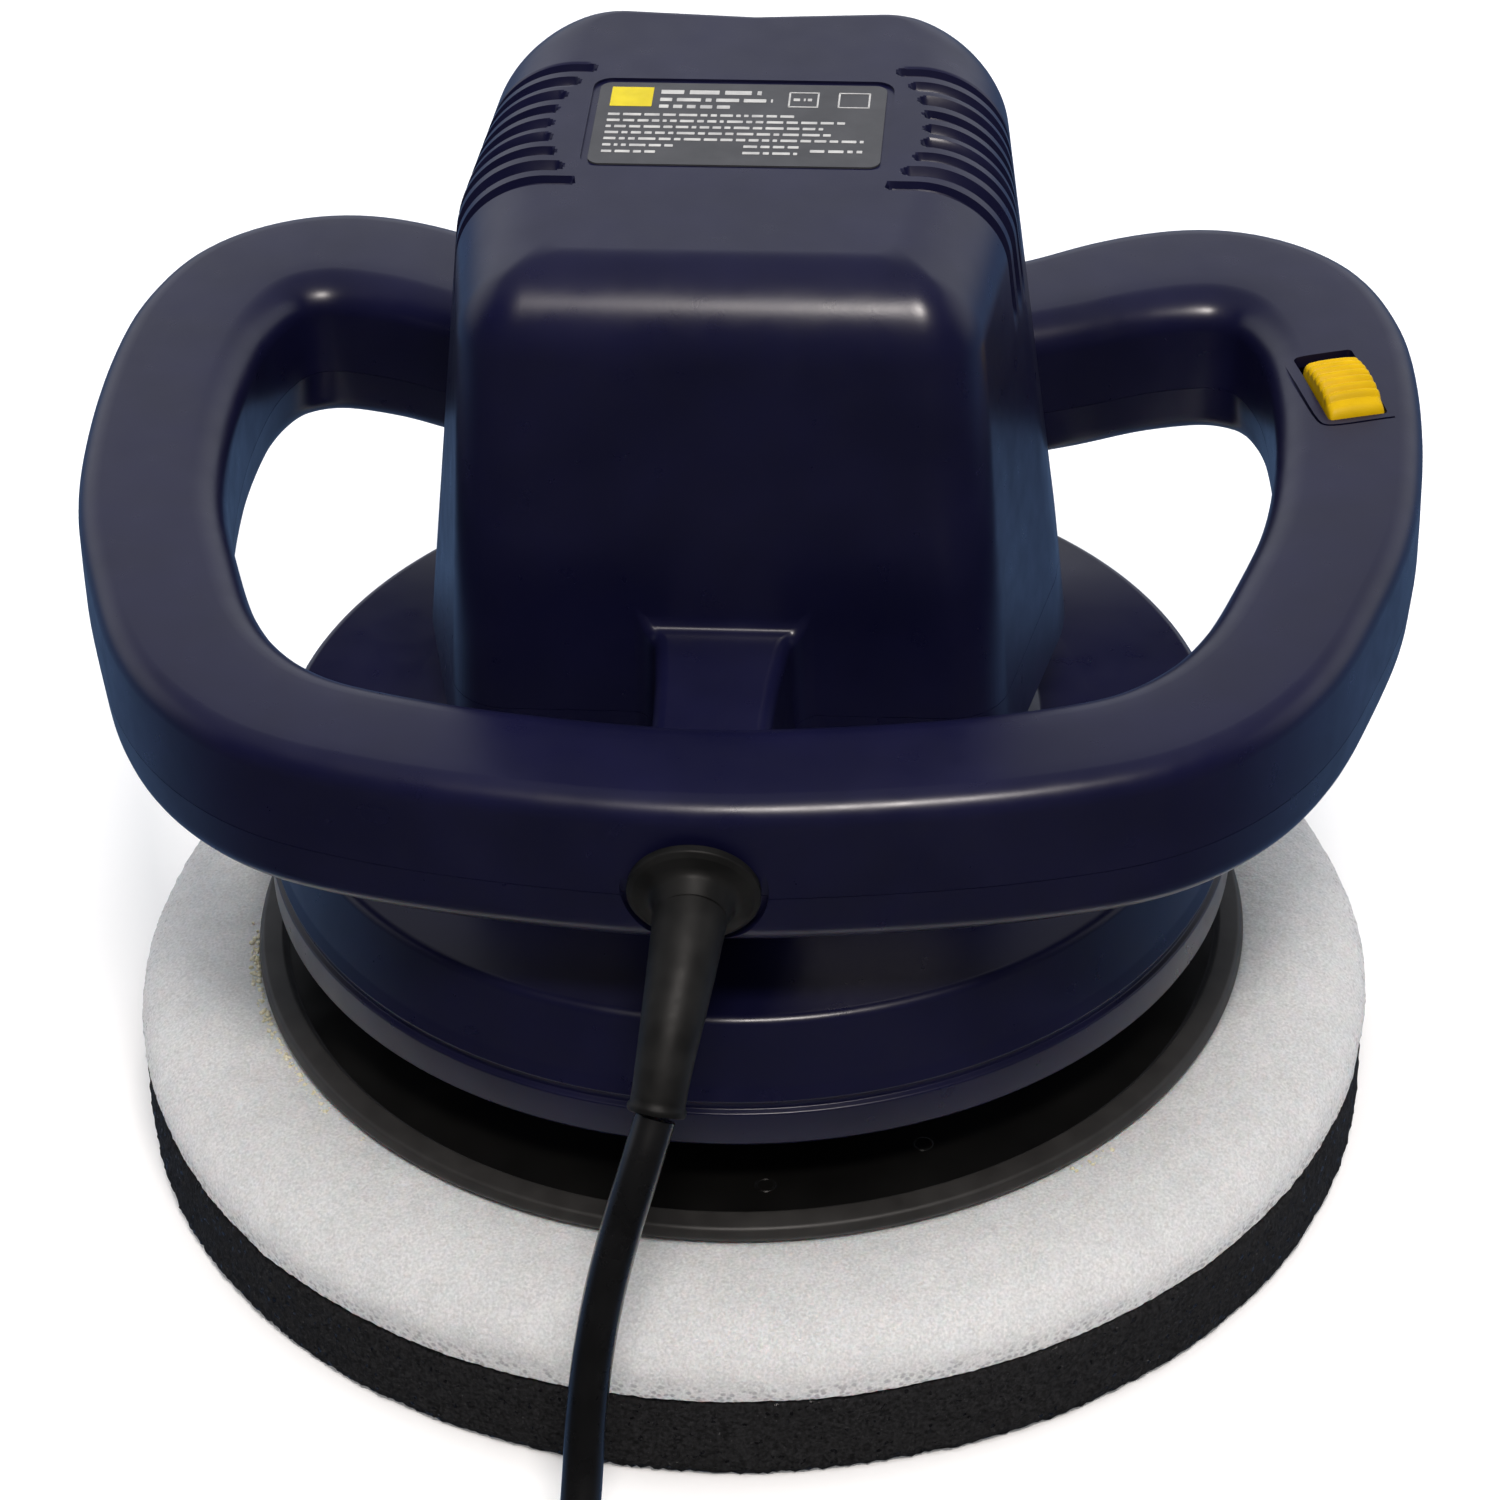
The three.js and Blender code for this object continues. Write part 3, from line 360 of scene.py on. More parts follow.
class Shader(Nodes):
    """One procedural material around a Principled shader."""

    def __init__(self, name):
        self.material = bpy.data.materials.new(name)
        self.material.use_nodes = True
        super().__init__(self.material.node_tree, "Object")
        self.shader = self.tree.nodes["Principled BSDF"]

    def put(self, **values):
        for key, value in values.items():
            self.shader.inputs[key.replace("_", " ")].default_value = value

    def edges(self, radius_mm):
        """A normal that softens the edges."""
        node = self.add("ShaderNodeBevel", samples=4)
        node.inputs["Radius"].default_value = radius_mm * MM
        return node.outputs["Normal"]

    def bump(self, height, depth_mm, strength=1.0, normal=None):
        node = self.add("ShaderNodeBump")
        node.inputs["Distance"].default_value = depth_mm * MM
        node.inputs["Strength"].default_value = strength
        self.link(height, node.inputs["Height"])
        if normal is not None:
            self.link(normal, node.inputs["Normal"])
        return node.outputs["Normal"]

    def finish(self, colour=None, roughness=None, normal=None):
        for socket, value in (("Base Color", colour), ("Roughness", roughness), ("Normal", normal)):
            if value is not None:
                self.link(value, self.shader.inputs[socket])
        return self.material


def moulded(name, dark, light, rough, grain_mm, grain_depth, patch_mm=18.0, specular=0.5, edge_mm=0):
    """Moulded plastic or rubber: slow colour drift, uneven gloss and a fine grain."""
    s = Shader(name)
    s.put(Specular_IOR_Level=specular)
    colour = s.drift(patch_mm, 3, 0.35, 0.65, dark, light)
    roughness = s.remap(s.noise(patch_mm * 0.35, 4), 0.3, 0.7, *rough)
    waves = s.bump(s.noise(9.0, 1), 0.02, 0.5, s.edges(edge_mm) if edge_mm else None)
    return s.finish(colour, roughness, s.bump(s.noise(grain_mm, 2), grain_depth, 1.0, waves))


def metal(name, dark, light, rough, stretch=(1, 1, 1), grain_mm=0.5, depth=0.004):
    """Bare or plated metal: tone drift, brushed or turned lines, and small stains."""
    s = Shader(name)
    s.put(Metallic=1.0)
    colour = s.drift(6.0, 4, 0.35, 0.7, dark, light)
    roughness = s.remap(s.noise(2.5, 3, stretch), 0.3, 0.7, *rough)
    return s.finish(colour, roughness, s.bump(s.noise(grain_mm, 2, stretch), depth))


def plate_plastic():
    """Black moulded plastic whose raised rim is paler and duller than the floor inside it."""
    s = Shader("plate_plastic")
    s.put(Specular_IOR_Level=0.45)
    flat = s.add("ShaderNodeCombineXYZ")
    for index in (0, 1):
        s.link(s.axis(index), flat.inputs[index])
    reach = s.add("ShaderNodeVectorMath", operation="LENGTH")
    s.link(flat.outputs[0], reach.inputs[0])
    rim = s.remap(reach.outputs["Value"], RIM_FROM, RIM_FROM + 0.0006, 0, 1, True)
    floor = s.drift(22.0, 3, 0.35, 0.65, (0.0032, 0.0031, 0.003), (0.0052, 0.005, 0.0047))
    band = s.drift(5.0, 3, 0.3, 0.7, (0.016, 0.0152, 0.0145), (0.026, 0.0248, 0.0238))
    gloss = s.remap(s.noise(7.0, 4), 0.3, 0.7, 0.28, 0.38)
    roughness = s.math("ADD", gloss, s.remap(rim, 0, 1, 0, 0.14))
    waves = s.bump(s.noise(9.0, 1), 0.02, 0.5, s.edges(0.4))
    return s.finish(s.blend(rim, floor, band), roughness, s.bump(s.noise(0.7, 2), 0.005, 1.0, waves))


def white_foam():
    """Closed-cell foam: pearly cells, glints, faint layers and an open, cut lower edge whose pores carry
    painted shade.
    """
    s = Shader("white_foam")
    s.put(Specular_IOR_Level=0.4, Subsurface_Weight=0.25, Subsurface_Scale=0.004)
    tone = s.drift(7.0, 4, 0.3, 0.7, (0.53, 0.54, 0.545), (0.64, 0.645, 0.65))
    grey = s.drift(0.55, 3, 0.35, 0.7, (0.43, 0.435, 0.44), (0.74, 0.74, 0.74))
    colour = s.blend(s.remap(s.noise(1.6, 2), 0.2, 0.8, 0.3, 0.75), tone, grey)
    edge = s.remap(s.axis(2), 0.0205, 0.0250, 1, 0, True)
    # painted shade: the open pores of the cut lower band are darkened to grey for the shade that falls inside
    # them
    pore_shade = s.remap(s.cells(1.3), 0.28, 0.46, 0.55, 0)
    colour = s.blend(s.math("MULTIPLY", edge, pore_shade), colour, (0.17, 0.17, 0.19))
    roughness = s.remap(s.random(0.5), 0.90, 0.93, 0.75, 0.16)
    normal = s.bump(s.cells(0.8, "DISTANCE_TO_EDGE"), 0.14, 0.45)
    normal = s.bump(s.noise(0.55, 3), 0.24, 0.55, normal)
    normal = s.bump(s.noise(1.4, 1, (0.02, 0.02, 1)), 0.12, 0.35, normal)  # the faint layers
    return s.finish(colour, roughness, normal)


def black_foam():
    """Open-cell sponge: pits, painted specks of light on cell walls."""
    s = Shader("black_foam")
    s.put(Specular_IOR_Level=0.35)
    colour = s.drift(0.75, 3, 0.32, 0.68, (0.0025, 0.0025, 0.003), (0.015, 0.015, 0.0165))
    # painted highlights: pale grey specks stand for light caught on the cell walls
    colour = s.blend(s.remap(s.noise(0.5, 2), 0.70, 0.78, 0, 0.6), colour, (0.12, 0.12, 0.12))
    roughness = s.remap(s.random(0.7), 0.95, 0.97, 0.9, 0.25)
    normal = s.bump(s.noise(0.6, 3), 0.30, 0.7, s.bump(s.cells(1.0), 0.35, 0.6))
    return s.finish(colour, roughness, normal)


def crumb_material():
    s = Shader("glue_crumbs")
    s.put(Specular_IOR_Level=0.3)
    colour = s.drift(0.8, 3, 0.3, 0.7, (0.60, 0.54, 0.32), (0.84, 0.81, 0.68))
    return s.finish(colour, s.remap(s.noise(0.6, 2), 0.3, 0.7, 0.5, 0.9), s.bump(s.noise(0.3, 3), 0.1))


MATERIALS = {
    "navy": moulded("navy_plastic", (0.0040, 0.0042, 0.020), (0.0052, 0.0053, 0.025), (0.27, 0.34),
                    0.60, 0.006),
    "knob": moulded("yellow_plastic", (0.50, 0.31, 0.0008), (0.58, 0.36, 0.0014), (0.42, 0.52),
                    0.5, 0.006, 8.0, specular=0.18, edge_mm=0.15),
    "label": moulded("label_film", (0.036, 0.037, 0.041), (0.046, 0.047, 0.052), (0.34, 0.44),
                     0.7, 0.003, 9.0),
    "print": moulded("label_print", (0.34, 0.34, 0.34), (0.46, 0.46, 0.45), (0.4, 0.5), 0.5, 0.002, 4.0),
    "print_yellow": moulded("label_block", (0.50, 0.40, 0.004), (0.58, 0.47, 0.008), (0.4, 0.5),
                            0.5, 0.002, 4.0),
    "rubber": moulded("soft_rubber", (0.0045, 0.0045, 0.0044), (0.009, 0.0089, 0.0086), (0.44, 0.56),
                      0.4, 0.006, 7.0, specular=0.22, edge_mm=0.3),
    "jacket": moulded("cord_jacket", (0.0045, 0.0045, 0.0048), (0.007, 0.007, 0.0075), (0.24, 0.34),
                      0.6, 0.003, 12.0),
    "plug": moulded("plug_vinyl", (0.006, 0.006, 0.0062), (0.010, 0.010, 0.010), (0.36, 0.46),
                    0.5, 0.006, 9.0, edge_mm=0.4),
    "plate": plate_plastic(),
    "black": moulded("black_nylon", (0.008, 0.008, 0.009), (0.014, 0.014, 0.015), (0.4, 0.55), 0.5, 0.01),
    "tie": moulded("cable_tie", (0.010, 0.010, 0.010), (0.016, 0.016, 0.016), (0.35, 0.5), 0.4, 0.004),
    "white_foam": white_foam(),
    "black_foam": black_foam(),
    "crumbs": crumb_material(),
    "steel": metal("bright_steel", (0.40, 0.40, 0.41), (0.62, 0.62, 0.63), (0.18, 0.34)),
    "laminated": metal("lamination_steel", (0.20, 0.20, 0.21), (0.36, 0.36, 0.37), (0.34, 0.5),
                       (0.05, 0.05, 3.0), 0.5, 0.05),
    "zinc": metal("cast_zinc", (0.30, 0.31, 0.32), (0.45, 0.46, 0.47), (0.38, 0.55),
                  grain_mm=0.9, depth=0.03),
    "aluminium": metal("cast_aluminium", (0.50, 0.50, 0.51), (0.66, 0.66, 0.67), (0.36, 0.5),
                       grain_mm=1.0, depth=0.03),
    "brass": metal("plated_brass", (0.62, 0.55, 0.36), (0.78, 0.70, 0.48), (0.16, 0.3), (1, 4, 4)),
    "copper": metal("copper_bars", (0.62, 0.25, 0.11), (0.80, 0.38, 0.20), (0.22, 0.4)),
    "winding": metal("copper_winding", (0.42, 0.13, 0.05), (0.62, 0.24, 0.10), (0.25, 0.4),
                     (0.1, 0.1, 2.0), 0.7, 0.15),
    "carbon": moulded("carbon_block", (0.010, 0.010, 0.011), (0.025, 0.025, 0.027), (0.45, 0.65),
                      0.4, 0.02, 4.0),
}


def dress(obj, key):
    obj.data.materials.clear()
    obj.data.materials.append(MATERIALS[key])


def ship(obj, body, material, replaced=()):
    """Gives a finished piece its material and body, and hides the CAD nodes it stands for."""
    dress(obj, material)
    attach(obj, body)
    if replaced:
        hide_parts(*replaced)
    return obj


# ---- the cord
CORD_D = 7.2
COIL = {"x": -65.5, "y": -214.0, "radius": 41.0}
CORD_ROUTE = [
    (-6.1, -125.25, 90.05), (-8.5, -129.8, 82.9), (-12, -133.6, 71.4), (-15, -136.2, 59.2),
    (-17.2, -138.4, 47), (-18.6, -141.4, 35), (-19.3, -146.4, 24), (-19.9, -154.4, 14),
    (-20.4, -164.6, 7), (-20.8, -174, 4.3), (-20.9, -183, 3.8),
]
TAIL_ROUTE = [
    (-93.7, -259.2, 10.2), (-99, -260.2, 8.5), (-104.8, -261.1, 7.4), (-110.4, -261.3, 7.2),
]


def coil_points():
    """Six and a quarter turns, clockwise from above: each turn lies beside or on the one before."""
    half = CORD_D / 2
    outer, inner = COIL["radius"] + half, COIL["radius"] - half
    turns = [(outer, 0), (inner, 0), (inner, 1), (inner, 2), (outer, 2), (outer, 1)]
    cells = [(r, half + CORD_D * layer) for r, layer in turns]
    steps, shift = 40, 0.16  # steps to a turn, and the share of it in which the cord moves over
    out = []
    total = len(turns) * steps + steps // 4
    for i in range(total + 1):
        turn, share = divmod(i / steps, 1)
        here, after = (np.array(cells[min(int(turn) + k, len(cells) - 1)]) for k in (0, 1))
        r, z = here + (after - here) * eased(max(0.0, (share - 1 + shift) / shift))
        a = -2 * math.pi * i / steps
        out.append((COIL["x"] + r * math.cos(a), COIL["y"] + r * math.sin(a), z))
    return out


def cord_curve():
    head = catmull([*CORD_ROUTE, (-20.9, -198, 3.6)], per=6)
    turns = coil_points()
    x, y = COIL["x"], COIL["y"] - COIL["radius"] - CORD_D / 2
    tail = catmull([turns[-1], (x - 9, y, 10.8), (x - 18.5, y - 0.2, 10.7), *TAIL_ROUTE], per=6)
    points = np.vstack([head, turns, tail[1:]])
    data = bpy.data.curves.new("power_lead", "CURVE")
    data.dimensions = "3D"
    data.bevel_depth = CORD_D / 2 * MM
    data.bevel_resolution = 5
    data.use_fill_caps = True
    line = data.splines.new("POLY")
    line.points.add(len(points) - 1)
    for point, place in zip(line.points, points):
        point.co = (*(place * MM), 1)
    lead = bpy.data.objects.new("power_lead", data)
    scene.collection.objects.link(lead)
    return lead, points


power_lead, cord_points = cord_curve()
ship(power_lead, "housing", "jacket", ("power_cord", "cord_coil", "cord_tail"))


def coil_tie():
    """A thin strap round the section of the coil, with its small locking head."""
    half_w, height = CORD_D + 0.5, 3 * CORD_D + 0.3
    outline = box(-half_w, 0.05, half_w, height, 3.4)
    inner = box(-half_w + 0.5, 0.45, half_w - 0.5, height - 0.5, 3)
    angle = math.radians(115)
    out = np.array([math.cos(angle), math.sin(angle)])
    side = np.array([-out[1], out[0]])
    centre = np.array([COIL["x"], COIL["y"]]) + out * COIL["radius"]
    verts, n = [], len(outline)
    for loop in (outline, inner):
        for s in (-1.8, 1.8):
            verts += [(*(centre + out * u + side * s), w) for u, w in loop]
    faces = []
    for j in range(n):
        k = (j + 1) % n
        faces += [(j, k, n + k, n + j), (2 * n + j, 3 * n + j, 3 * n + k, 2 * n + k),
                  (j, 2 * n + j, 2 * n + k, k), (n + j, n + k, 3 * n + k, 3 * n + j)]
    tie = mesh_object("coil_tie", verts, faces)
    smooth(tie, 40)
    return tie


tie = ship(coil_tie(), "housing", "tie")


# ---- handle ring
SEAM_Z = 112.6
SEAM_GAP = 0.14
BAR_TOP, BAR_BOTTOM, BAR_HALF = 132.0, 100.5, 13.8
BAR_DRAFT, BAR_CROWN, BAR_WAIST = 0.6, 0.08, 119
LOBE = 0.155  # the bar is this much wider at the back corners
BAR_HALF_PATH = [
    (0, -85.2), (32, -82.4), (58, -77.2), (76, -70.6), (88.6, -59.7), (97.2, -45.8), (104.2, -26),
    (110, -4), (112.4, 20), (112.2, 44), (109.4, 63), (101.8, 78.2), (88, 84.8), (71, 81.4),
    (55, 73.6), (32, 66.5), (0, 64),
]


def bar_path(count, spread):
    """Centre line of the ring at equal steps, eased over neighbouring stations, with its directions."""
    left = [(-x, y) for x, y in reversed(BAR_HALF_PATH[1:-1])]
    line = resample(catmull([*BAR_HALF_PATH, *left], closed=True, per=32), count, closed=True)
    reach = np.arange(-3 * spread, 3 * spread + 1)
    weight = np.exp(-0.5 * (reach / spread) ** 2)
    weight /= weight.sum()
    line = sum(w * np.roll(line, -int(k), axis=0) for k, w in zip(reach, weight))
    along = np.roll(line, -1, axis=0) - np.roll(line, 1, axis=0)
    return line, unit(along)


def bar_section(inset, steps):
    """Section of the ring as [outward, z], with a barely crowned top."""
    half, foot = BAR_HALF - inset, BAR_HALF - inset - BAR_DRAFT
    top, bottom = BAR_TOP - inset, BAR_BOTTOM + inset
    outer_r, inner_r, foot_r = 4.8 - inset, 6.8 - 1.4 * inset, 6 - 1.6 * inset
    across = np.linspace(half - outer_r, inner_r - half, 7)[1:-1]
    lid = [(u, top + BAR_CROWN * (1 - (u / (half - outer_r)) ** 2)) for u in across]
    floor = [(u, bottom) for u in np.linspace(foot_r - foot, foot - foot_r, 5)[1:-1]]
    return np.vstack([
        arc(half - outer_r, top - outer_r, outer_r, 0, 90, steps), lid,
        arc(inner_r - half, top - inner_r, inner_r, 90, 180, steps),
        [(-half - 0.05, BAR_WAIST), (-half, SEAM_Z)],
        arc(foot_r - foot, bottom + foot_r, foot_r, 180, 270, steps), floor,
        arc(foot - foot_r, bottom + foot_r, foot_r, 270, 360, steps),
        [(half, SEAM_Z), (half + 0.05, BAR_WAIST)],
    ])


def lobe_share(p):
    """How much of the extra width of the back corners the bar has at a point."""
    return math.exp(-((abs(p[0]) - 84) / 24) ** 2) * min(1.0, max(0.0, (p[1] - 35) / 40))


def handle_ring(inset, stations, steps, spread):
    line, along = bar_path(stations, spread)
    section = bar_section(inset, steps)
    rings = []
    for p, t in zip(line, along):
        u = section[:, 0] * (1 + LOBE * lobe_share(p))
        rings.append(np.column_stack([p[0] + t[1] * u, p[1] - t[0] * u, section[:, 1]]))
    return skin(rings, closed=True)


# ---- motor cover
TOWER_TOP, TOWER_EDGE = 200.5, 15.0
FRONT_EDGE, BACK_EDGE = 1.0, 0.42  # the rounding's depth at the front and back, as shares of its height
SHOULDER_Z = TOWER_TOP - TOWER_EDGE
GROOVES, GROOVE_PITCH, GROOVE_FIRST_Y = 9, 5.12, -6.1
GROOVE_HALF, GROOVE_DEPTH = 1.5, 1.8
GROOVE_FOOT, GROOVE_FADE = 170.5, 11  # height at which the grooves start, and over which they deepen
SIDE_FROM, SIDE_TO = -10.0, 39.5  # the stretch of each side wall that carries the grooves
SIDE_STEP, FRONT_POINTS, BACK_POINTS = 0.45, 70, 56


def tower_half(z, inset, edge):
    """Right half of the cover's plan at a height, from the middle of the front to the middle of the back."""
    rise = max(0.0, min(1.0, (z - BAR_BOTTOM) / (TOWER_TOP - BAR_BOTTOM)))
    at = lambda foot, head: foot + (head - foot) * rise
    side, end, tail = inset + edge, inset + FRONT_EDGE * edge, inset + BACK_EDGE * edge
    keep = lambda radius: max(radius - side, 3)
    front = [at(49.5, 44.2) - side, at(-44.4, -44.0) + end, keep(11)]
    middle = [at(60.3, 48.9) - side, 4, 40]
    back = [at(55.5, 44.5) - side, at(66, 63) - tail, keep(22)]
    mirror = lambda c: [-c[0], c[1], c[2]]
    outline = rounded([front, middle, back, mirror(back), mirror(middle), mirror(front)], 24)
    right = outline[outline[:, 0] > 0]
    right = np.vstack([[0, front[1]], right, [0, back[1]]])
    dip = 2.4 * rise * np.clip(1 - (right[:, 0] / 31) ** 2, 0, 1) ** 1.5
    right[:, 1] -= np.where(right[:, 1] > 30, dip, 0)
    return right


def tower_ring(z, inset=0, edge=0, front=FRONT_POINTS, side_step=SIDE_STEP, back=BACK_POINTS):
    """Closed ring of the cover whose points on the side walls keep the same y at every height."""
    half = tower_half(z, inset, edge)
    sides = np.linspace(SIDE_FROM, SIDE_TO, int(round((SIDE_TO - SIDE_FROM) / side_step)) + 1)
    wall = half[np.argsort(half[:, 1], kind="stable")]
    wall = wall[wall[:, 0] > 20]
    x = np.interp(sides, wall[:, 1], wall[:, 0])
    first = np.vstack([half[half[:, 1] < SIDE_FROM], [x[0], sides[0]]])
    last = np.vstack([[x[-1], sides[-1]], half[half[:, 1] > SIDE_TO]])
    first, last = resample(first, front + 1)[:-1], resample(last, back + 1)[1:]
    right = np.vstack([first, np.column_stack([x, sides]), last])
    left = right[-2:0:-1] * [-1, 1]
    ring = np.vstack([right, left])
    return raised(ring, z)


def groove_depth(p):
    """How deep the vent grooves are at points on the cover."""
    depth = np.zeros(len(p))
    fade = eased(np.clip((p[:, 2] - GROOVE_FOOT) / GROOVE_FADE, 0, 1))
    for i in range(GROOVES):
        share = (i - (GROOVES - 1) / 2) / ((GROOVES - 1) / 2)
        inner = 33.5 - 6.0 * share * share
        dy = p[:, 1] - (GROOVE_FIRST_Y + GROOVE_PITCH * i)
        dx = np.maximum(0, inner + GROOVE_HALF - np.abs(p[:, 0]))
        reach = np.clip(np.hypot(dx, dy) / GROOVE_HALF, 0, 1)
        depth = np.maximum(depth, GROOVE_DEPTH * fade * (1 - reach ** 2.6) ** 0.6)
    return depth


def tower():
    """The cover as one closed grid, with the grooves pressed into it."""
    levels = [(z, 0.0) for z in (BAR_BOTTOM, 112, 124, 136, 148, 158, 165)]
    levels += [(z, 0.0) for z in np.arange(169.5, SHOULDER_Z, 0.75)]
    for a in np.radians(np.linspace(0, 90, 41)):
        levels.append((SHOULDER_Z + TOWER_EDGE * math.sin(a), TOWER_EDGE * (1 - math.cos(a))))
    grid = np.array([tower_ring(z, 0.0, edge) for z, edge in levels])
    count = grid.shape[1]
    around = np.roll(grid, -1, axis=1) - np.roll(grid, 1, axis=1)
    rising = np.gradient(grid, axis=0)
    out = unit(np.cross(around, rising))
    out[-1] = (0, 0, 1)
    for level in range(len(levels)):
        grid[level] -= out[level] * groove_depth(grid[level])[:, None]
    verts, faces = skin(grid, caps=False)
    faces.append(tuple(reversed(range(count))))
    verts = verts.tolist()
    top = (len(levels) - 1) * count
    sides = int(round((SIDE_TO - SIDE_FROM) / SIDE_STEP)) + 1
    right_start, left_start = FRONT_POINTS, count - FRONT_POINTS + 1 - sides
    columns = 18
    loops = []
    for start, sign in ((right_start, -1), (left_start, 1)):
        rows = [[top + start + j for j in range(sides)]]
        edge_flat = tower_ring(TOWER_TOP, 0.0, TOWER_EDGE)[start:start + sides]
        for c in range(1, columns + 1):
            flat = edge_flat + np.array([sign * 0.5 * c, 0, 0])
            flat[:, 2] -= groove_depth(flat)
            rows.append([len(verts) + j for j in range(sides)])
            verts += flat.tolist()
        for a, b in zip(rows, rows[1:]):
            faces += [(a[j], a[j + 1], b[j + 1], b[j]) for j in range(sides - 1)]
        loops.append(rows)
    lid = []
    for rows, start, end in zip(loops, (0, right_start + sides), (right_start, left_start)):
        lid += [top + j for j in range(start, end)]
        lid += [row[0] for row in rows] + rows[-1][1:] + [row[-1] for row in reversed(rows[:-1])]
    lid += [top + j for j in range(left_start + sides, count)]
    faces.append(tuple(lid))
    return verts, faces


def tower_hollow(inset):
    levels = [(BAR_BOTTOM + inset, 0.0), (SHOULDER_Z, 0.0)]
    edge = TOWER_EDGE - inset
    for a in np.radians((22, 45, 68, 90)):
        levels.append((SHOULDER_Z + edge * math.sin(a), edge * (1 - math.cos(a))))
    return skin([tower_ring(z, inset, e, front=16, side_step=5.0, back=14) for z, e in levels])


# ---- bridge, skirt
FLARE, LIFT = 4.8, 0.9  # fillets where the strut meets the cover
BRIDGE_HALF, BRIDGE_TOP, BRIDGE_FROM_Y = 10.6, 131.2, -44.1


def bridge(inset):
    """The strut from the front of the cover to the ring, which flares where it meets the cover."""
    rings = []
    steps = (0, 0.25, 0.6, 1.0, 1.5, 2.2, 3.0, 4.0, 5.2, 6.6)
    for y in [-37.0, *(BRIDGE_FROM_Y - s for s in steps), -60.0, -70.0, -76.0]:
        s = max(0.0, BRIDGE_FROM_Y - y)
        flare = FLARE - math.sqrt(max(0.0, FLARE**2 - (FLARE - min(s, FLARE)) ** 2))
        half = BRIDGE_HALF + flare - inset + 1.8 * max(0.0, 1 - s / 20)
        top = BRIDGE_TOP - inset
        bottom = BAR_BOTTOM + inset
        edge = 2.6 if inset == 0 else 1.0
        right = arc(half - edge, top - edge, edge, 0, 90, 6)
        left = arc(edge - half, top - edge, edge, 90, 180, 6)
        outline = np.vstack([[half + 1.5, bottom], [half + 0.4, top - 14], right, left,
                             [-half - 0.4, top - 14], [-half - 1.5, bottom]])
        reach = LIFT + 3.4 * (np.abs(outline[:, 0]) / 14.5) ** 6
        rise = reach - np.sqrt(np.maximum(0, reach**2 - (reach - np.minimum(s, reach)) ** 2))
        outline[:, 1] += np.where(outline[:, 1] > top - 8, rise, 0)
        rings.append(raised(outline, y)[:, [0, 2, 1]])
    return skin(rings)


def skirt_outside():
    profile = [(0, 51), (91.7, 51), (92.6, 52), (92.6, 58.8), (91.5, 59.3), (91.5, 60.7), (92.2, 61.2),
               (91.4, 64), (89.3, 77.9), (66, 79.3), (56, 80.4), (53.2, 82.6), (52.4, 90), (50, 104),
               (0, 104)]
    radii = {1: 0.4, 2: 0.6, 3: 0.45, 4: 0.3, 5: 0.3, 6: 0.4, 7: 6, 8: 2.0, 9: 12, 10: 1.5, 11: 1.5,
             12: 14}
    return lathe(fillet(profile, radii, 7), 240)


def skirt_inside():
    profile = [(0, 50), (90, 50), (88.8, 64), (86.4, 74.8), (64, 76.5), (54, 77.7), (50.4, 80.4),
               (49.8, 88.4), (47.4, 104.5), (0, 104.5)]
    return lathe(fillet(profile, {3: 2, 4: 10}, 4), 96)


def wide_box(bottom, top):
    return prism(np.array([[-300, -300], [300, -300], [300, 300], [-300, 300]], float), bottom, top)


def oblong(width, length, corner, bottom, top, x, y, turn=0.0):
    outline = box(-width / 2, -length / 2, width / 2, length / 2, corner)
    return prism(turned(outline, turn, x, y), bottom, top)


SCREW_PLACES = [(side * x, y) for x, y in ((102, 79), (89, -60), (32, 69)) for side in (-1, 1)]
BOSS_UPPER_R, BOSS_LOWER_R, SCREW_HEAD_R, SCREW_SHANK_R = 4.6, 5.4, 3.9, 1.95
GLAND_X, GLAND_Y, GLAND_Z, GLAND_DROOP = -1.4, -98.8, 114.2, math.radians(12)
SWITCH_X, SWITCH_Y, SWITCH_TURN = 111.0, 39.9, math.radians(16.3)
SLOT_LENGTH, SLOT_WIDTH = 23.3, 11.6
LABEL_X, LABEL_Y, LABEL_WIDTH, LABEL_DEPTH = 0.0, 15.1, 52.2, 29.5
LABEL_RECESS = 0.55


def at_gland(verts, faces):
    """Turns a solid built along +Z so that +Z leaves the front wall, drooping a little."""
    a = math.radians(90) + GLAND_DROOP
    x, y, z = np.asarray(verts, float).T
    c, s = math.cos(a), math.sin(a)
    return np.column_stack([x + GLAND_X, c * y - s * z + GLAND_Y, s * y + c * z + GLAND_Z]), faces


def round_solid(x, y, radius, low, high, sides=32):
    return lathe(drum(radius, low, high), sides, (x, y))


def switch_line():
    """The thin step beside the slot, along its inner side and its front."""
    inner_x, front_y, width = -SLOT_WIDTH / 2 - 2.0, -SLOT_LENGTH / 2 - 1.6, 0.55
    path = [(inner_x, SLOT_LENGTH / 2 + 0.4), (inner_x, front_y + 2.4), (inner_x + 0.7, front_y + 0.7),
            (inner_x + 2.4, front_y), (SLOT_WIDTH / 2 + 0.8, front_y)]
    line = catmull([(*p, 0) for p in path], per=6)[:, :2]
    along = unit(np.gradient(line, axis=0))
    side = np.column_stack([-along[:, 1], along[:, 0]]) * width / 2
    outline = np.vstack([line + side, (line - side)[::-1]])
    return prism(turned(outline, SWITCH_TURN, SWITCH_X, SWITCH_Y), BAR_TOP - 1.25, BAR_TOP + 4)


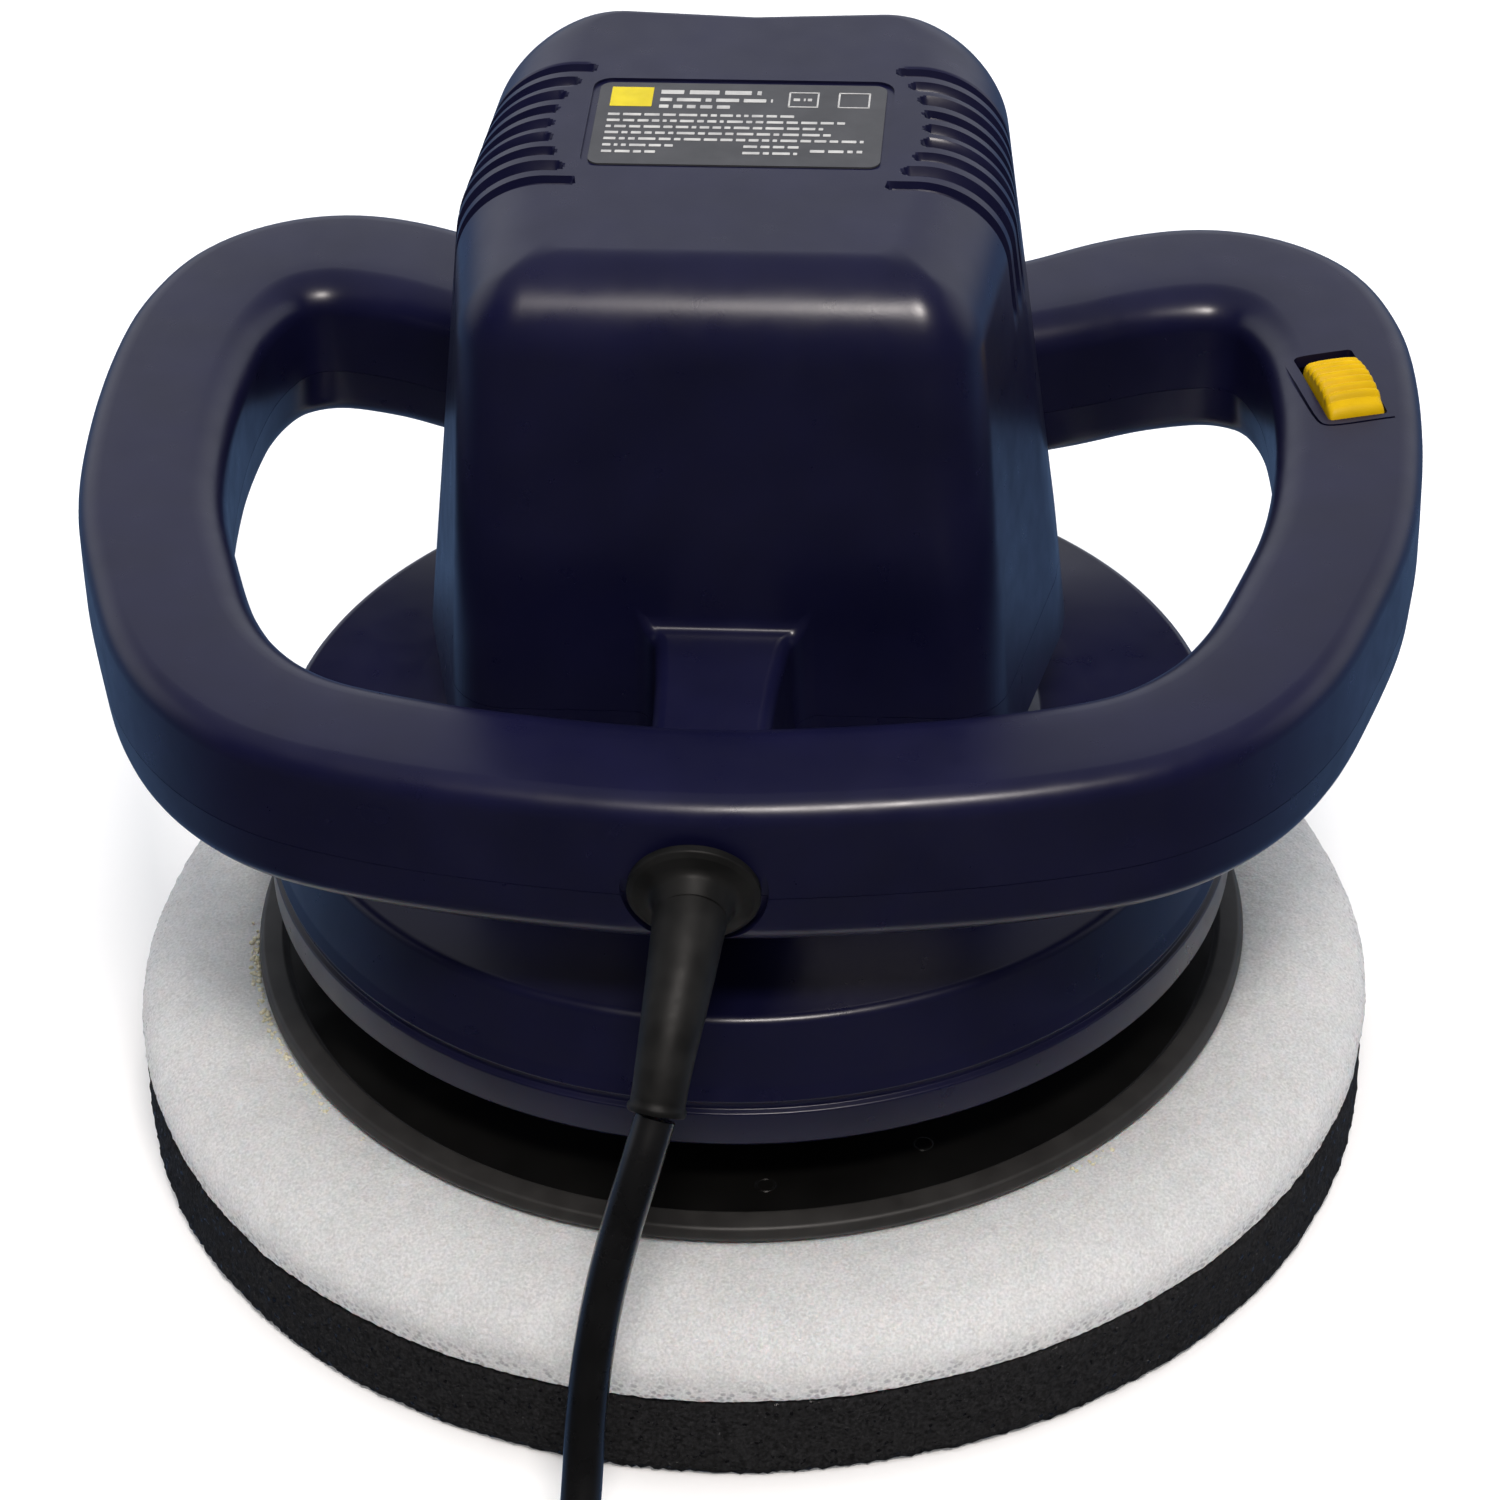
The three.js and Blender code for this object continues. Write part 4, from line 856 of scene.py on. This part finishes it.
def make_shells():
    outside = mesh_object("outside", *tower())
    hollow = mesh_object("hollow", *tower_hollow(WALL))
    for target, ring, strut in ((outside, handle_ring(0, 400, 8, 2), bridge(0)),
                                (hollow, handle_ring(WALL, 90, 3, 1), bridge(WALL))):
        boolean(target, ring, "UNION")
        boolean(target, strut, "UNION")

    upper = copy_of(outside)
    boolean(upper, copy_of(hollow), "DIFFERENCE")
    for x, y in SCREW_PLACES:
        boolean(upper, round_solid(x, y, BOSS_UPPER_R, SEAM_Z - 2, BAR_TOP - 1.5), "UNION")
    boolean(upper, wide_box(SEAM_Z + SEAM_GAP / 2, 260), "INTERSECT")

    lower = outside
    boolean(lower, skirt_outside(), "UNION")
    boolean(hollow, skirt_inside(), "UNION")
    boolean(lower, hollow, "DIFFERENCE")
    for x, y in SCREW_PLACES:
        boolean(lower, round_solid(x, y, BOSS_LOWER_R, BAR_BOTTOM + 0.6, SEAM_Z + 1), "UNION")
    boolean(lower, wide_box(0, SEAM_Z - SEAM_GAP / 2), "INTERSECT")

    for shell in (upper, lower):
        for x, y in SCREW_PLACES:
            boolean(shell, round_solid(x, y, SCREW_HEAD_R, BAR_BOTTOM - 1, 105.3), "DIFFERENCE")
            boolean(shell, round_solid(x, y, SCREW_SHANK_R, 104, 124.3, 16), "DIFFERENCE")
        for size in ((6.6, -12, 6), (12.9, -0.9, 8)):
            boolean(shell, at_gland(*lathe(drum(*size), 64)), "DIFFERENCE")
    slot = oblong(SLOT_WIDTH, SLOT_LENGTH, 0.9, BAR_TOP - 6, BAR_TOP + 4, SWITCH_X, SWITCH_Y, SWITCH_TURN)
    recess = oblong(LABEL_WIDTH + 2.6, LABEL_DEPTH + 2.6, 3.4, TOWER_TOP - LABEL_RECESS, TOWER_TOP + 5,
                    LABEL_X, LABEL_Y)
    for solid in (slot, switch_line(), recess):
        boolean(upper, solid, "DIFFERENCE")
    for shell, name, node in ((upper, "upper_shell", "upper_housing"),
                              (lower, "lower_shell", "lower_housing")):
        shell.name = name
        shell.data.name = name
        shell.data.transform(Matrix.Translation((0, ORBIT * MM, 0)))
        smooth(shell, 24)
        ship(shell, "housing", "navy", (node,))


make_shells()


# ---- label
def make_label():
    floor = TOWER_TOP - LABEL_RECESS
    plate = mesh_object("label", *oblong(LABEL_WIDTH, LABEL_DEPTH, 2.2, floor + 0.03, floor + 0.38,
                                         LABEL_X, LABEL_Y + ORBIT))
    smooth(plate, 40)
    ship(plate, "housing", "label", ("label_plate",))
    top = floor + 0.38
    verts, faces = [], []
    block_verts, block_faces = [], []

    def bar(x0, x1, y, height, target=None):
        into = (verts, faces) if target is None else target
        y0 = LABEL_Y + ORBIT + LABEL_DEPTH / 2 - y
        outline = box(x0, y0 - height / 2, x1, y0 + height / 2, 0.12, 2)
        made, sides = prism(outline - [LABEL_WIDTH / 2, 0] + [LABEL_X, 0], top + 0.01, top + 0.05)
        base = len(into[0])
        into[0].extend(made.tolist())
        into[1].extend([tuple(base + i for i in f) for f in sides])

    def words(x0, x1, y, height, length):
        """A row of short bars of uneven length that stands in for a line of print."""
        x = x0
        while x < x1 - 0.6:
            step = min(length * (0.5 + rng.random()), x1 - x)
            bar(x, x + max(step - height * 0.45, 0.35), y, height * 0.62)
            x += step

    words(11.2, 30.5, 3.4, 2.3, 4.6)
    words(11.2, 32.0, 6.2, 1.9, 3.8)
    words(11.2, 25.5, 8.7, 1.9, 3.2)
    for y, end in ((11.8, 36.5), (14.0, 45.8), (16.2, 42.0), (18.4, 43.5), (20.6, 49.5)):
        words(2.2, end, y, 1.35, 2.6)
    for start, end, y, length in ((2.2, 15.5, 22.9, 2.4), (2.2, 12.5, 25.2, 2.4),
                                  (27.5, 38.0, 22.9, 2.6), (27.5, 38.0, 25.2, 2.6)):
        words(start, end, y, 1.35, length)
    words(39.5, 49.5, 24.2, 1.5, 2.6)
    bar(2.2, 9.8, 5.3, 7.0, (block_verts, block_faces))
    for x0, x1, y0, y1 in ((34.5, 40.0, 3.0, 8.2), (43.5, 49.3, 3.0, 8.2)):
        for y in (y0, y1):
            bar(x0, x1, y, 0.32)
        for x in (x0, x1 - 0.32):
            bar(x, x + 0.32, (y0 + y1) / 2, y1 - y0)
    words(35.4, 39.4, 5.6, 1.5, 1.4)
    print_marks = mesh_object("label_marks", verts, faces)
    ship(print_marks, "housing", "print")
    block = mesh_object("label_block", block_verts, block_faces)
    ship(block, "housing", "print_yellow")


make_label()


# ---- switch knob
def make_knob():
    """An arched slide with rounded cross ribs and softened edges."""
    travel, ribs, fit = 4.5, 7, 0.3
    length = SLOT_LENGTH - travel - 2 * fit
    start = -SLOT_LENGTH / 2 + fit
    half = SLOT_WIDTH / 2 - 0.45
    crown, top = 1.9, BAR_TOP + 0.9
    stations = 240
    rings = []
    for i in range(stations + 1):
        share = i / stations
        along = share * length
        bow = crown * math.sin(math.pi * share) ** 0.8
        wave = 0.0
        if share > 0.16:
            beat = (share - 0.16) / 0.82 * ribs % 1
            wave = 0.8 * math.sin(math.pi * beat) * min(1.0, (1 - share) / 0.05)
        ends = min(1.0, min(share, 1 - share) / 0.09)
        droop = 2.2 * (1 - math.sqrt(max(0.0, 1 - (1 - ends) ** 2)))
        z = top + bow + wave - droop
        soft = 1.3
        right = arc(half - soft, z - soft, soft, 0, 90, 5)
        left = arc(soft - half, z - soft, soft, 90, 180, 5)
        lid = np.column_stack([np.linspace(half - soft, soft - half, 7)[1:-1], np.full(5, z)])
        lid[:, 1] += 0.25 * (1 - (lid[:, 0] / half) ** 2)
        outline = np.vstack([[half, 127.4], right, lid, left, [-half, 127.4]])
        rings.append(raised(outline, start + along)[:, [0, 2, 1]])
    verts, faces = skin(rings)
    verts[:, :2] = turned(verts[:, :2], SWITCH_TURN, SWITCH_X, SWITCH_Y + ORBIT)
    knob = mesh_object("slide_knob", verts, faces)
    smooth(knob, 50)
    ship(knob, "switch", "knob", ("switch_knob",))


make_knob()


# ---- strain relief
BOOT_ROUTE = [
    (-1.4, -90, 116.1), (-1.4, -98.8, 114.2), (-2.0, -108, 110.9), (-3.1, -117, 105.6),
    (-4.5, -124.6, 99), (-6, -130.4, 90.6),
]


def make_boot():
    """One moulding: a dished flange, a fillet into the root, and a tapered sleeve with a rolled end."""
    line = resample(catmull(BOOT_ROUTE, per=20), 121)
    along = unit(np.gradient(line, axis=0))
    stations = [(0.03, 5.6), (0.20, 5.9), (0.23, 7.2), (0.25, 6.75), (0.30, 6.45), (0.40, 6.2),
                (0.50, 5.95), (0.60, 5.65), (0.70, 5.35), (0.80, 5.05), (0.90, 4.82), (0.95, 4.78),
                (0.966, 4.82), (0.974, 5.1), (0.982, 5.16), (0.995, 5.1), (1.0, 4.9), (1.0, 3.9)]
    shares = np.linspace(0, 1, len(line))
    a = np.linspace(0, 2 * math.pi, 40, endpoint=False)[:, None]
    rings = []
    for share, radius in stations:
        centre, d = [np.array([np.interp(share, shares, v) for v in table.T]) for table in (line, along)]
        d = unit(d)
        side = unit(np.array([1.0, 0, 0]) - d[0] * d)
        rings.append(centre + radius * (np.cos(a) * side + np.sin(a) * np.cross(d, side)))
    boot = mesh_object("strain_relief_boot", *skin(rings))
    flange = fillet([(0, -0.6), (11.6, -0.6), (11.7, 1.0), (10.6, 1.7), (7.6, 2.3), (6.2, 6.0), (0, 6.0)],
                    {1: 0.3, 2: 0.5, 3: 0.6, 4: 2.0}, 5)
    boolean(boot, at_gland(*lathe(flange, 72)), "UNION")
    boolean(boot, at_gland(*lathe(drum(8.4, -7, -5.2), 40)), "UNION")
    boot.data.transform(Matrix.Translation((0, ORBIT * MM, 0)))
    smooth(boot, 38)
    return ship(boot, "housing", "rubber", ("strain_relief",))


boot = make_boot()


# ---- backing plate
FOAM_TOP, PLATE_R = 35.0, 96.0
FOAM_EDGE_Z, FOAM_OUT, FOAM_RISE = 23.5, 23.6, 11.4  # the rounding of the upper foam beyond the plate


def make_plate():
    bottom = FOAM_TOP + 0.35
    floor = bottom + 2.4
    profile = [(10.5, bottom), (94.8, bottom), (95.7, bottom + 1.2), (95.0, bottom + 3.3),
               (90.9, bottom + 3.9), (89.8, floor), (27.0, floor), (20.5, floor + 3.0), (19.0, 56.0),
               (14.3, 56.0), (14.3, 45.7), (10.5, 45.7), (10.5, bottom)]
    radii = {1: 0.5, 2: 0.8, 3: 1.0, 4: 0.5, 5: 0.4, 6: 3.0, 7: 2.0, 8: 0.5, 9: 0.4}
    plate = mesh_object("backing_disc", *lathe(fillet(profile, radii, 5)[:-1], 320))
    for angle, reach in ((-62, 78), (58, 78), (-122, 70), (178, 78), (-84, 82)):
        a = math.radians(angle)
        low, high = floor - 0.3, floor + 0.10
        mark = lathe([(1.5, low), (1.9, low), (1.9, high), (1.5, high)], 32,
                     (reach * math.cos(a), reach * math.sin(a)))
        boolean(plate, mark, "UNION")
    for k in range(6):
        a = math.radians(60 * k + 12)
        x, y = 24.5 * math.cos(a), 24.5 * math.sin(a)
        boolean(plate, oblong(8.0, 2.0, 0.8, floor - 0.3, floor + 2.4, x, y, a), "UNION")
    smooth(plate, 32)
    ship(plate, "pad", "plate", ("backing_plate",))


make_plate()


# ---- foam pads
def foam_disc(name, profile, rough_mm, seed):
    """A turned pad with a skin roughened cell by cell, from rows of radius, z and roughness share."""
    rows, columns = len(profile), 900
    r, z, share = profile.T
    angle = np.linspace(0, 2 * math.pi, columns, endpoint=False)[:, None]
    local = np.random.default_rng(seed)
    raw = local.standard_normal((columns, rows))
    soft = sum(np.roll(raw, (i, j), (0, 1)) for i in (-1, 0, 1) for j in (-1, 0, 1)) / 3
    slow = np.zeros((columns, rows))
    for wave in range(1, 15):
        phase, lean = local.random(2) * 2 * math.pi
        slow += np.cos(wave * 3 * angle + phase + lean * np.linspace(0, 1, rows)) / wave
    bump = ((0.75 * raw + 0.25 * soft) * rough_mm + 0.16 * slow) * share
    step = unit(np.gradient(profile[:, :2], axis=0))
    reach = r + bump * step[:, 1]
    height = np.maximum(z - bump * step[:, 0], 0.02)
    grid = np.stack([reach * np.cos(angle), reach * np.sin(angle), height], axis=2)
    verts = grid.reshape(-1, 3).tolist()
    faces = []
    for i in range(columns):
        a, b = i * rows, ((i + 1) % columns) * rows
        faces += [(a + j, b + j, b + j + 1, a + j + 1) for j in range(rows - 1)]
    faces.append(tuple(i * rows for i in reversed(range(columns))))
    faces.append(tuple(i * rows + rows - 1 for i in range(columns)))
    pad = mesh_object(name, verts, faces)
    pad.data.shade_smooth()
    return pad


def dense(points, step):
    points = np.asarray(points, float)
    return resample(points, max(2, int(run_along(points[:, :2])[-1] / step)))


def make_foams():
    over = [(PLATE_R + FOAM_OUT * math.cos(a), FOAM_EDGE_Z + FOAM_RISE * math.sin(a), 1.0)
            for a in np.radians(np.linspace(0, 90, 25))]
    side = [(112, 18.3, 0.0), (118.4, 18.35, 0.4), (118.9, 18.9, 1.3), (119.3, 20.5, 1.2), *over,
            (94, 34.92, 0.3), (90, 34.9, 0.0), (60, 34.9, 0.0)]
    upper = foam_disc("white_pad", dense(side, 0.85), 0.085, 11)
    ship(upper, "pad", "white_foam", ("foam_upper",))
    lower_side = [(100, 0.02, 0.0), (116.8, 0.05, 0.3), (118.4, 0.7, 1.0), (118.9, 2.2, 1.0), (119.0, 8, 1.0),
                  (118.9, 16.8, 1.0), (118.3, 17.9, 0.8), (116, 18.1, 0.1), (100, 18.1, 0.0)]
    lower = foam_disc("black_pad", dense(lower_side, 0.85), 0.15, 12)
    ship(lower, "pad", "black_foam", ("foam_lower",))


make_foams()


def make_crumbs():
    """Dried glue squeezed out between the plate and the foam, in small uneven crumbs."""
    verts, faces = [], []
    spots = [(-170, 9, 80), (-160, 6, 40), (-152, 12, 60), (-141, 10, 20), (-46, 5, 12), (100, 20, 16)]
    for middle, spread, count in spots:
        for _ in range(count):
            a = math.radians(middle + spread * (rng.random() - 0.5) * 2 * rng.random())
            reach = PLATE_R - 0.1 + 1.7 * rng.random() ** 1.6
            size = 0.18 + 0.45 * rng.random() ** 2
            fall = max(0, (reach - PLATE_R) / FOAM_OUT)
            z = FOAM_EDGE_Z + FOAM_RISE * math.sqrt(max(0.0, 1 - fall ** 2)) + 0.10
            place = np.array([reach * math.cos(a), reach * math.sin(a), z])
            bm = bmesh.new()
            bmesh.ops.create_icosphere(bm, subdivisions=1, radius=size)
            base = len(verts)
            for v in bm.verts:
                verts.append(tuple(place + np.array(v.co) * (0.7 + 0.6 * rng.random(3)) * [1, 1, 0.7]))
            faces += [tuple(base + v.index for v in f.verts) for f in bm.faces]
            bm.free()
    crumbs = mesh_object("glue_crumbs", verts, faces)
    crumbs.data.shade_smooth()
    ship(crumbs, "pad", "crumbs")


make_crumbs()


# ---- plug
PLUG_X, PLUG_Y, PLUG_Z = -110.4, -261.3, 7.2
RELIEF, PLUG_BODY, PLUG_WIDTH, PLUG_HEIGHT = 22.0, 30.0, 24.0, 14.0


def make_plug():
    """A moulded plug: ribbed relief, rounded body and recessed grips."""
    def ring(along, half, high, corner):
        outline = box(-half, -high, half, high, corner, 8) + [PLUG_Y, PLUG_Z]
        return raised(outline, PLUG_X - CLEAR - along)[:, [2, 0, 1]]

    stations = [(0, 4.1, 4.1, 4.0), (0.6, 4.6, 4.6, 4.5)]
    for k in range(5):
        start = 2.2 + 3.6 * k
        size = 4.7 + 0.12 * k
        for step, wider in ((0, 0), (0.25, -0.8), (1.2, -0.8), (1.45, 0.1)):
            stations.append((start + step, size + wider, size + wider, size + wider - 0.1))
    stations += [(RELIEF - 0.5, 5.4, 5.3, 5.2), (RELIEF + 2, 7.4, 5.9, 4.8), (RELIEF + 5, 9.9, 6.4, 4.2),
                 (RELIEF + 9, 11.6, 6.9, 3.6), (RELIEF + 12, 12, 7, 3.2), (RELIEF + 16, 11.3, 7, 3.2),
                 (RELIEF + 22, 11.3, 7, 3.2), (RELIEF + 25, 12, 7, 3.2), (RELIEF + 28.8, 12, 7, 3.0),
                 (RELIEF + 29.7, 11.6, 6.6, 2.6), (RELIEF + 30, 10.8, 5.8, 2.0)]
    plug = mesh_object("lead_plug", *skin([ring(*s) for s in stations]))
    smooth(plug, 40)
    return ship(plug, "housing", "plug", ("plug_body",))


def make_blade(side, node):
    """A flat contact with a chamfered tip and a round hole."""
    root = PLUG_X - CLEAR - RELIEF - PLUG_BODY - CLEAR
    outline = np.array([[0, -3.15], [-15.6, -3.15], [-17, -1.9], [-17, 1.9], [-15.6, 3.15], [0, 3.15]])
    verts, faces = prism(outline, -0.75, 0.75)
    y = PLUG_Y + side * 6.35
    placed = [(root + u, y + w, PLUG_Z + v) for u, v, w in verts]
    blade = mesh_object(f"plug_contact_{'left' if side < 0 else 'right'}", placed, faces)
    hole, hole_faces = lathe(drum(1.6, -2, 2), 24)
    boolean(blade, ([(root - 12 + u, y + w, PLUG_Z + v) for u, v, w in hole], hole_faces), "DIFFERENCE")
    edge = blade.modifiers.new("edge", "BEVEL")
    edge.width, edge.segments, edge.limit_method = 0.15 * MM, 2, "ANGLE"
    smooth(blade, 40)
    return ship(blade, "housing", "brass", (node,))


plug = make_plug()
blades = [make_blade(-1, "plug_blade_left"), make_blade(1, "plug_blade_right")]


# ---- the CAD parts that stay
KEPT = {
    "steel": ["shaft", "pad_washer", "pad_bolt", "bearing_circlip", "brush_spring_left",
              "brush_spring_right", *[f"housing_screw_{i}" for i in range(1, 7)],
              *[f"{place}_bearing_{race}" for place in ("upper", "lower", "pad")
                for race in ("outer", "inner")]],
    "laminated": ["stator_core", "armature_core"],
    "aluminium": ["upper_end_frame", "lower_end_frame"],
    "zinc": ["eccentric_weight"],
    "winding": ["field_coil_front", "field_coil_back", "winding_upper", "winding_lower"],
    "copper": ["commutator"],
    "carbon": ["carbon_brush_left", "carbon_brush_right"],
    "black": ["switch_body", "brush_holder_left", "brush_holder_right", "cooling_fan"],
    "jacket": ["lead_to_switch", "lead_switch_to_brush", "lead_to_field"],
}
for key, names in KEPT.items():
    for name in names:
        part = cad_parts[name]
        dress(part, key)
        part.data.shade_smooth()
        part.data.set_sharp_from_angle(angle=math.radians(35))


# ---- floor and light
def make_floor():
    reach = 4000
    corners = [(-reach, -reach, 0), (reach, -reach, 0), (reach, reach, 0), (-reach, reach, 0)]
    floor = mesh_object("floor", corners, [(0, 1, 2, 3)])
    s = Shader("floor")
    s.put(Roughness=0.9, Specular_IOR_Level=0.1, Emission_Color=(1, 1, 1, 1), Emission_Strength=0.10)
    colour = s.blend(s.noise(400, 2), (0.90, 0.90, 0.905), (0.92, 0.92, 0.925))
    floor.data.materials.append(s.finish(colour))
    floor.visible_glossy = False


def area(name, place, target, size, power, colour=(1, 1, 1), glossy=False):
    data = bpy.data.lights.new(name, "AREA")
    data.shape = "RECTANGLE"
    data.size, data.size_y = size
    data.energy = power
    data.color = colour
    light = bpy.data.objects.new(name, data)
    scene.collection.objects.link(light)
    light.location = place
    light.rotation_euler = (Vector(target) - Vector(place)).to_track_quat("-Z", "Y").to_euler()
    light.visible_glossy = glossy


def make_world():
    """A studio seen in reflections: pale behind and above, cool low down behind, dark in front."""
    world = bpy.data.worlds.new("studio")
    world.use_nodes = True
    nodes = Nodes(world.node_tree, "Generated")

    def along(axis, low, high):
        return nodes.remap(nodes.axis(axis), low, high, 0, 1, True)

    behind = nodes.blend(along(2, -0.25, 0.25), (0.10, 0.17, 0.32), (0.78, 0.80, 0.86))
    behind = nodes.blend(along(2, 0.54, 0.63), behind, (0.22, 0.22, 0.24))
    front = nodes.blend(along(2, 0.6, 1.0), (0.005, 0.005, 0.007), (0.18, 0.18, 0.19))
    sky = nodes.tree.nodes["Background"]
    nodes.link(nodes.blend(along(1, -0.30, 0.40), front, behind), sky.inputs["Color"])
    scene.world = world


make_floor()
make_world()
area("key", (0.18, -0.84, 1.36), (0, 0, 0.1), (0.34, 0.20), 14, (1.0, 0.93, 0.88), glossy=True)
area("fill", (0.1, -2.0, 1.6), (0, 0, 0.08), (2.4, 1.6), 10)
area("top", (0, 0.3, 2.4), (0, 0, 0), (2.6, 2.6), 62)
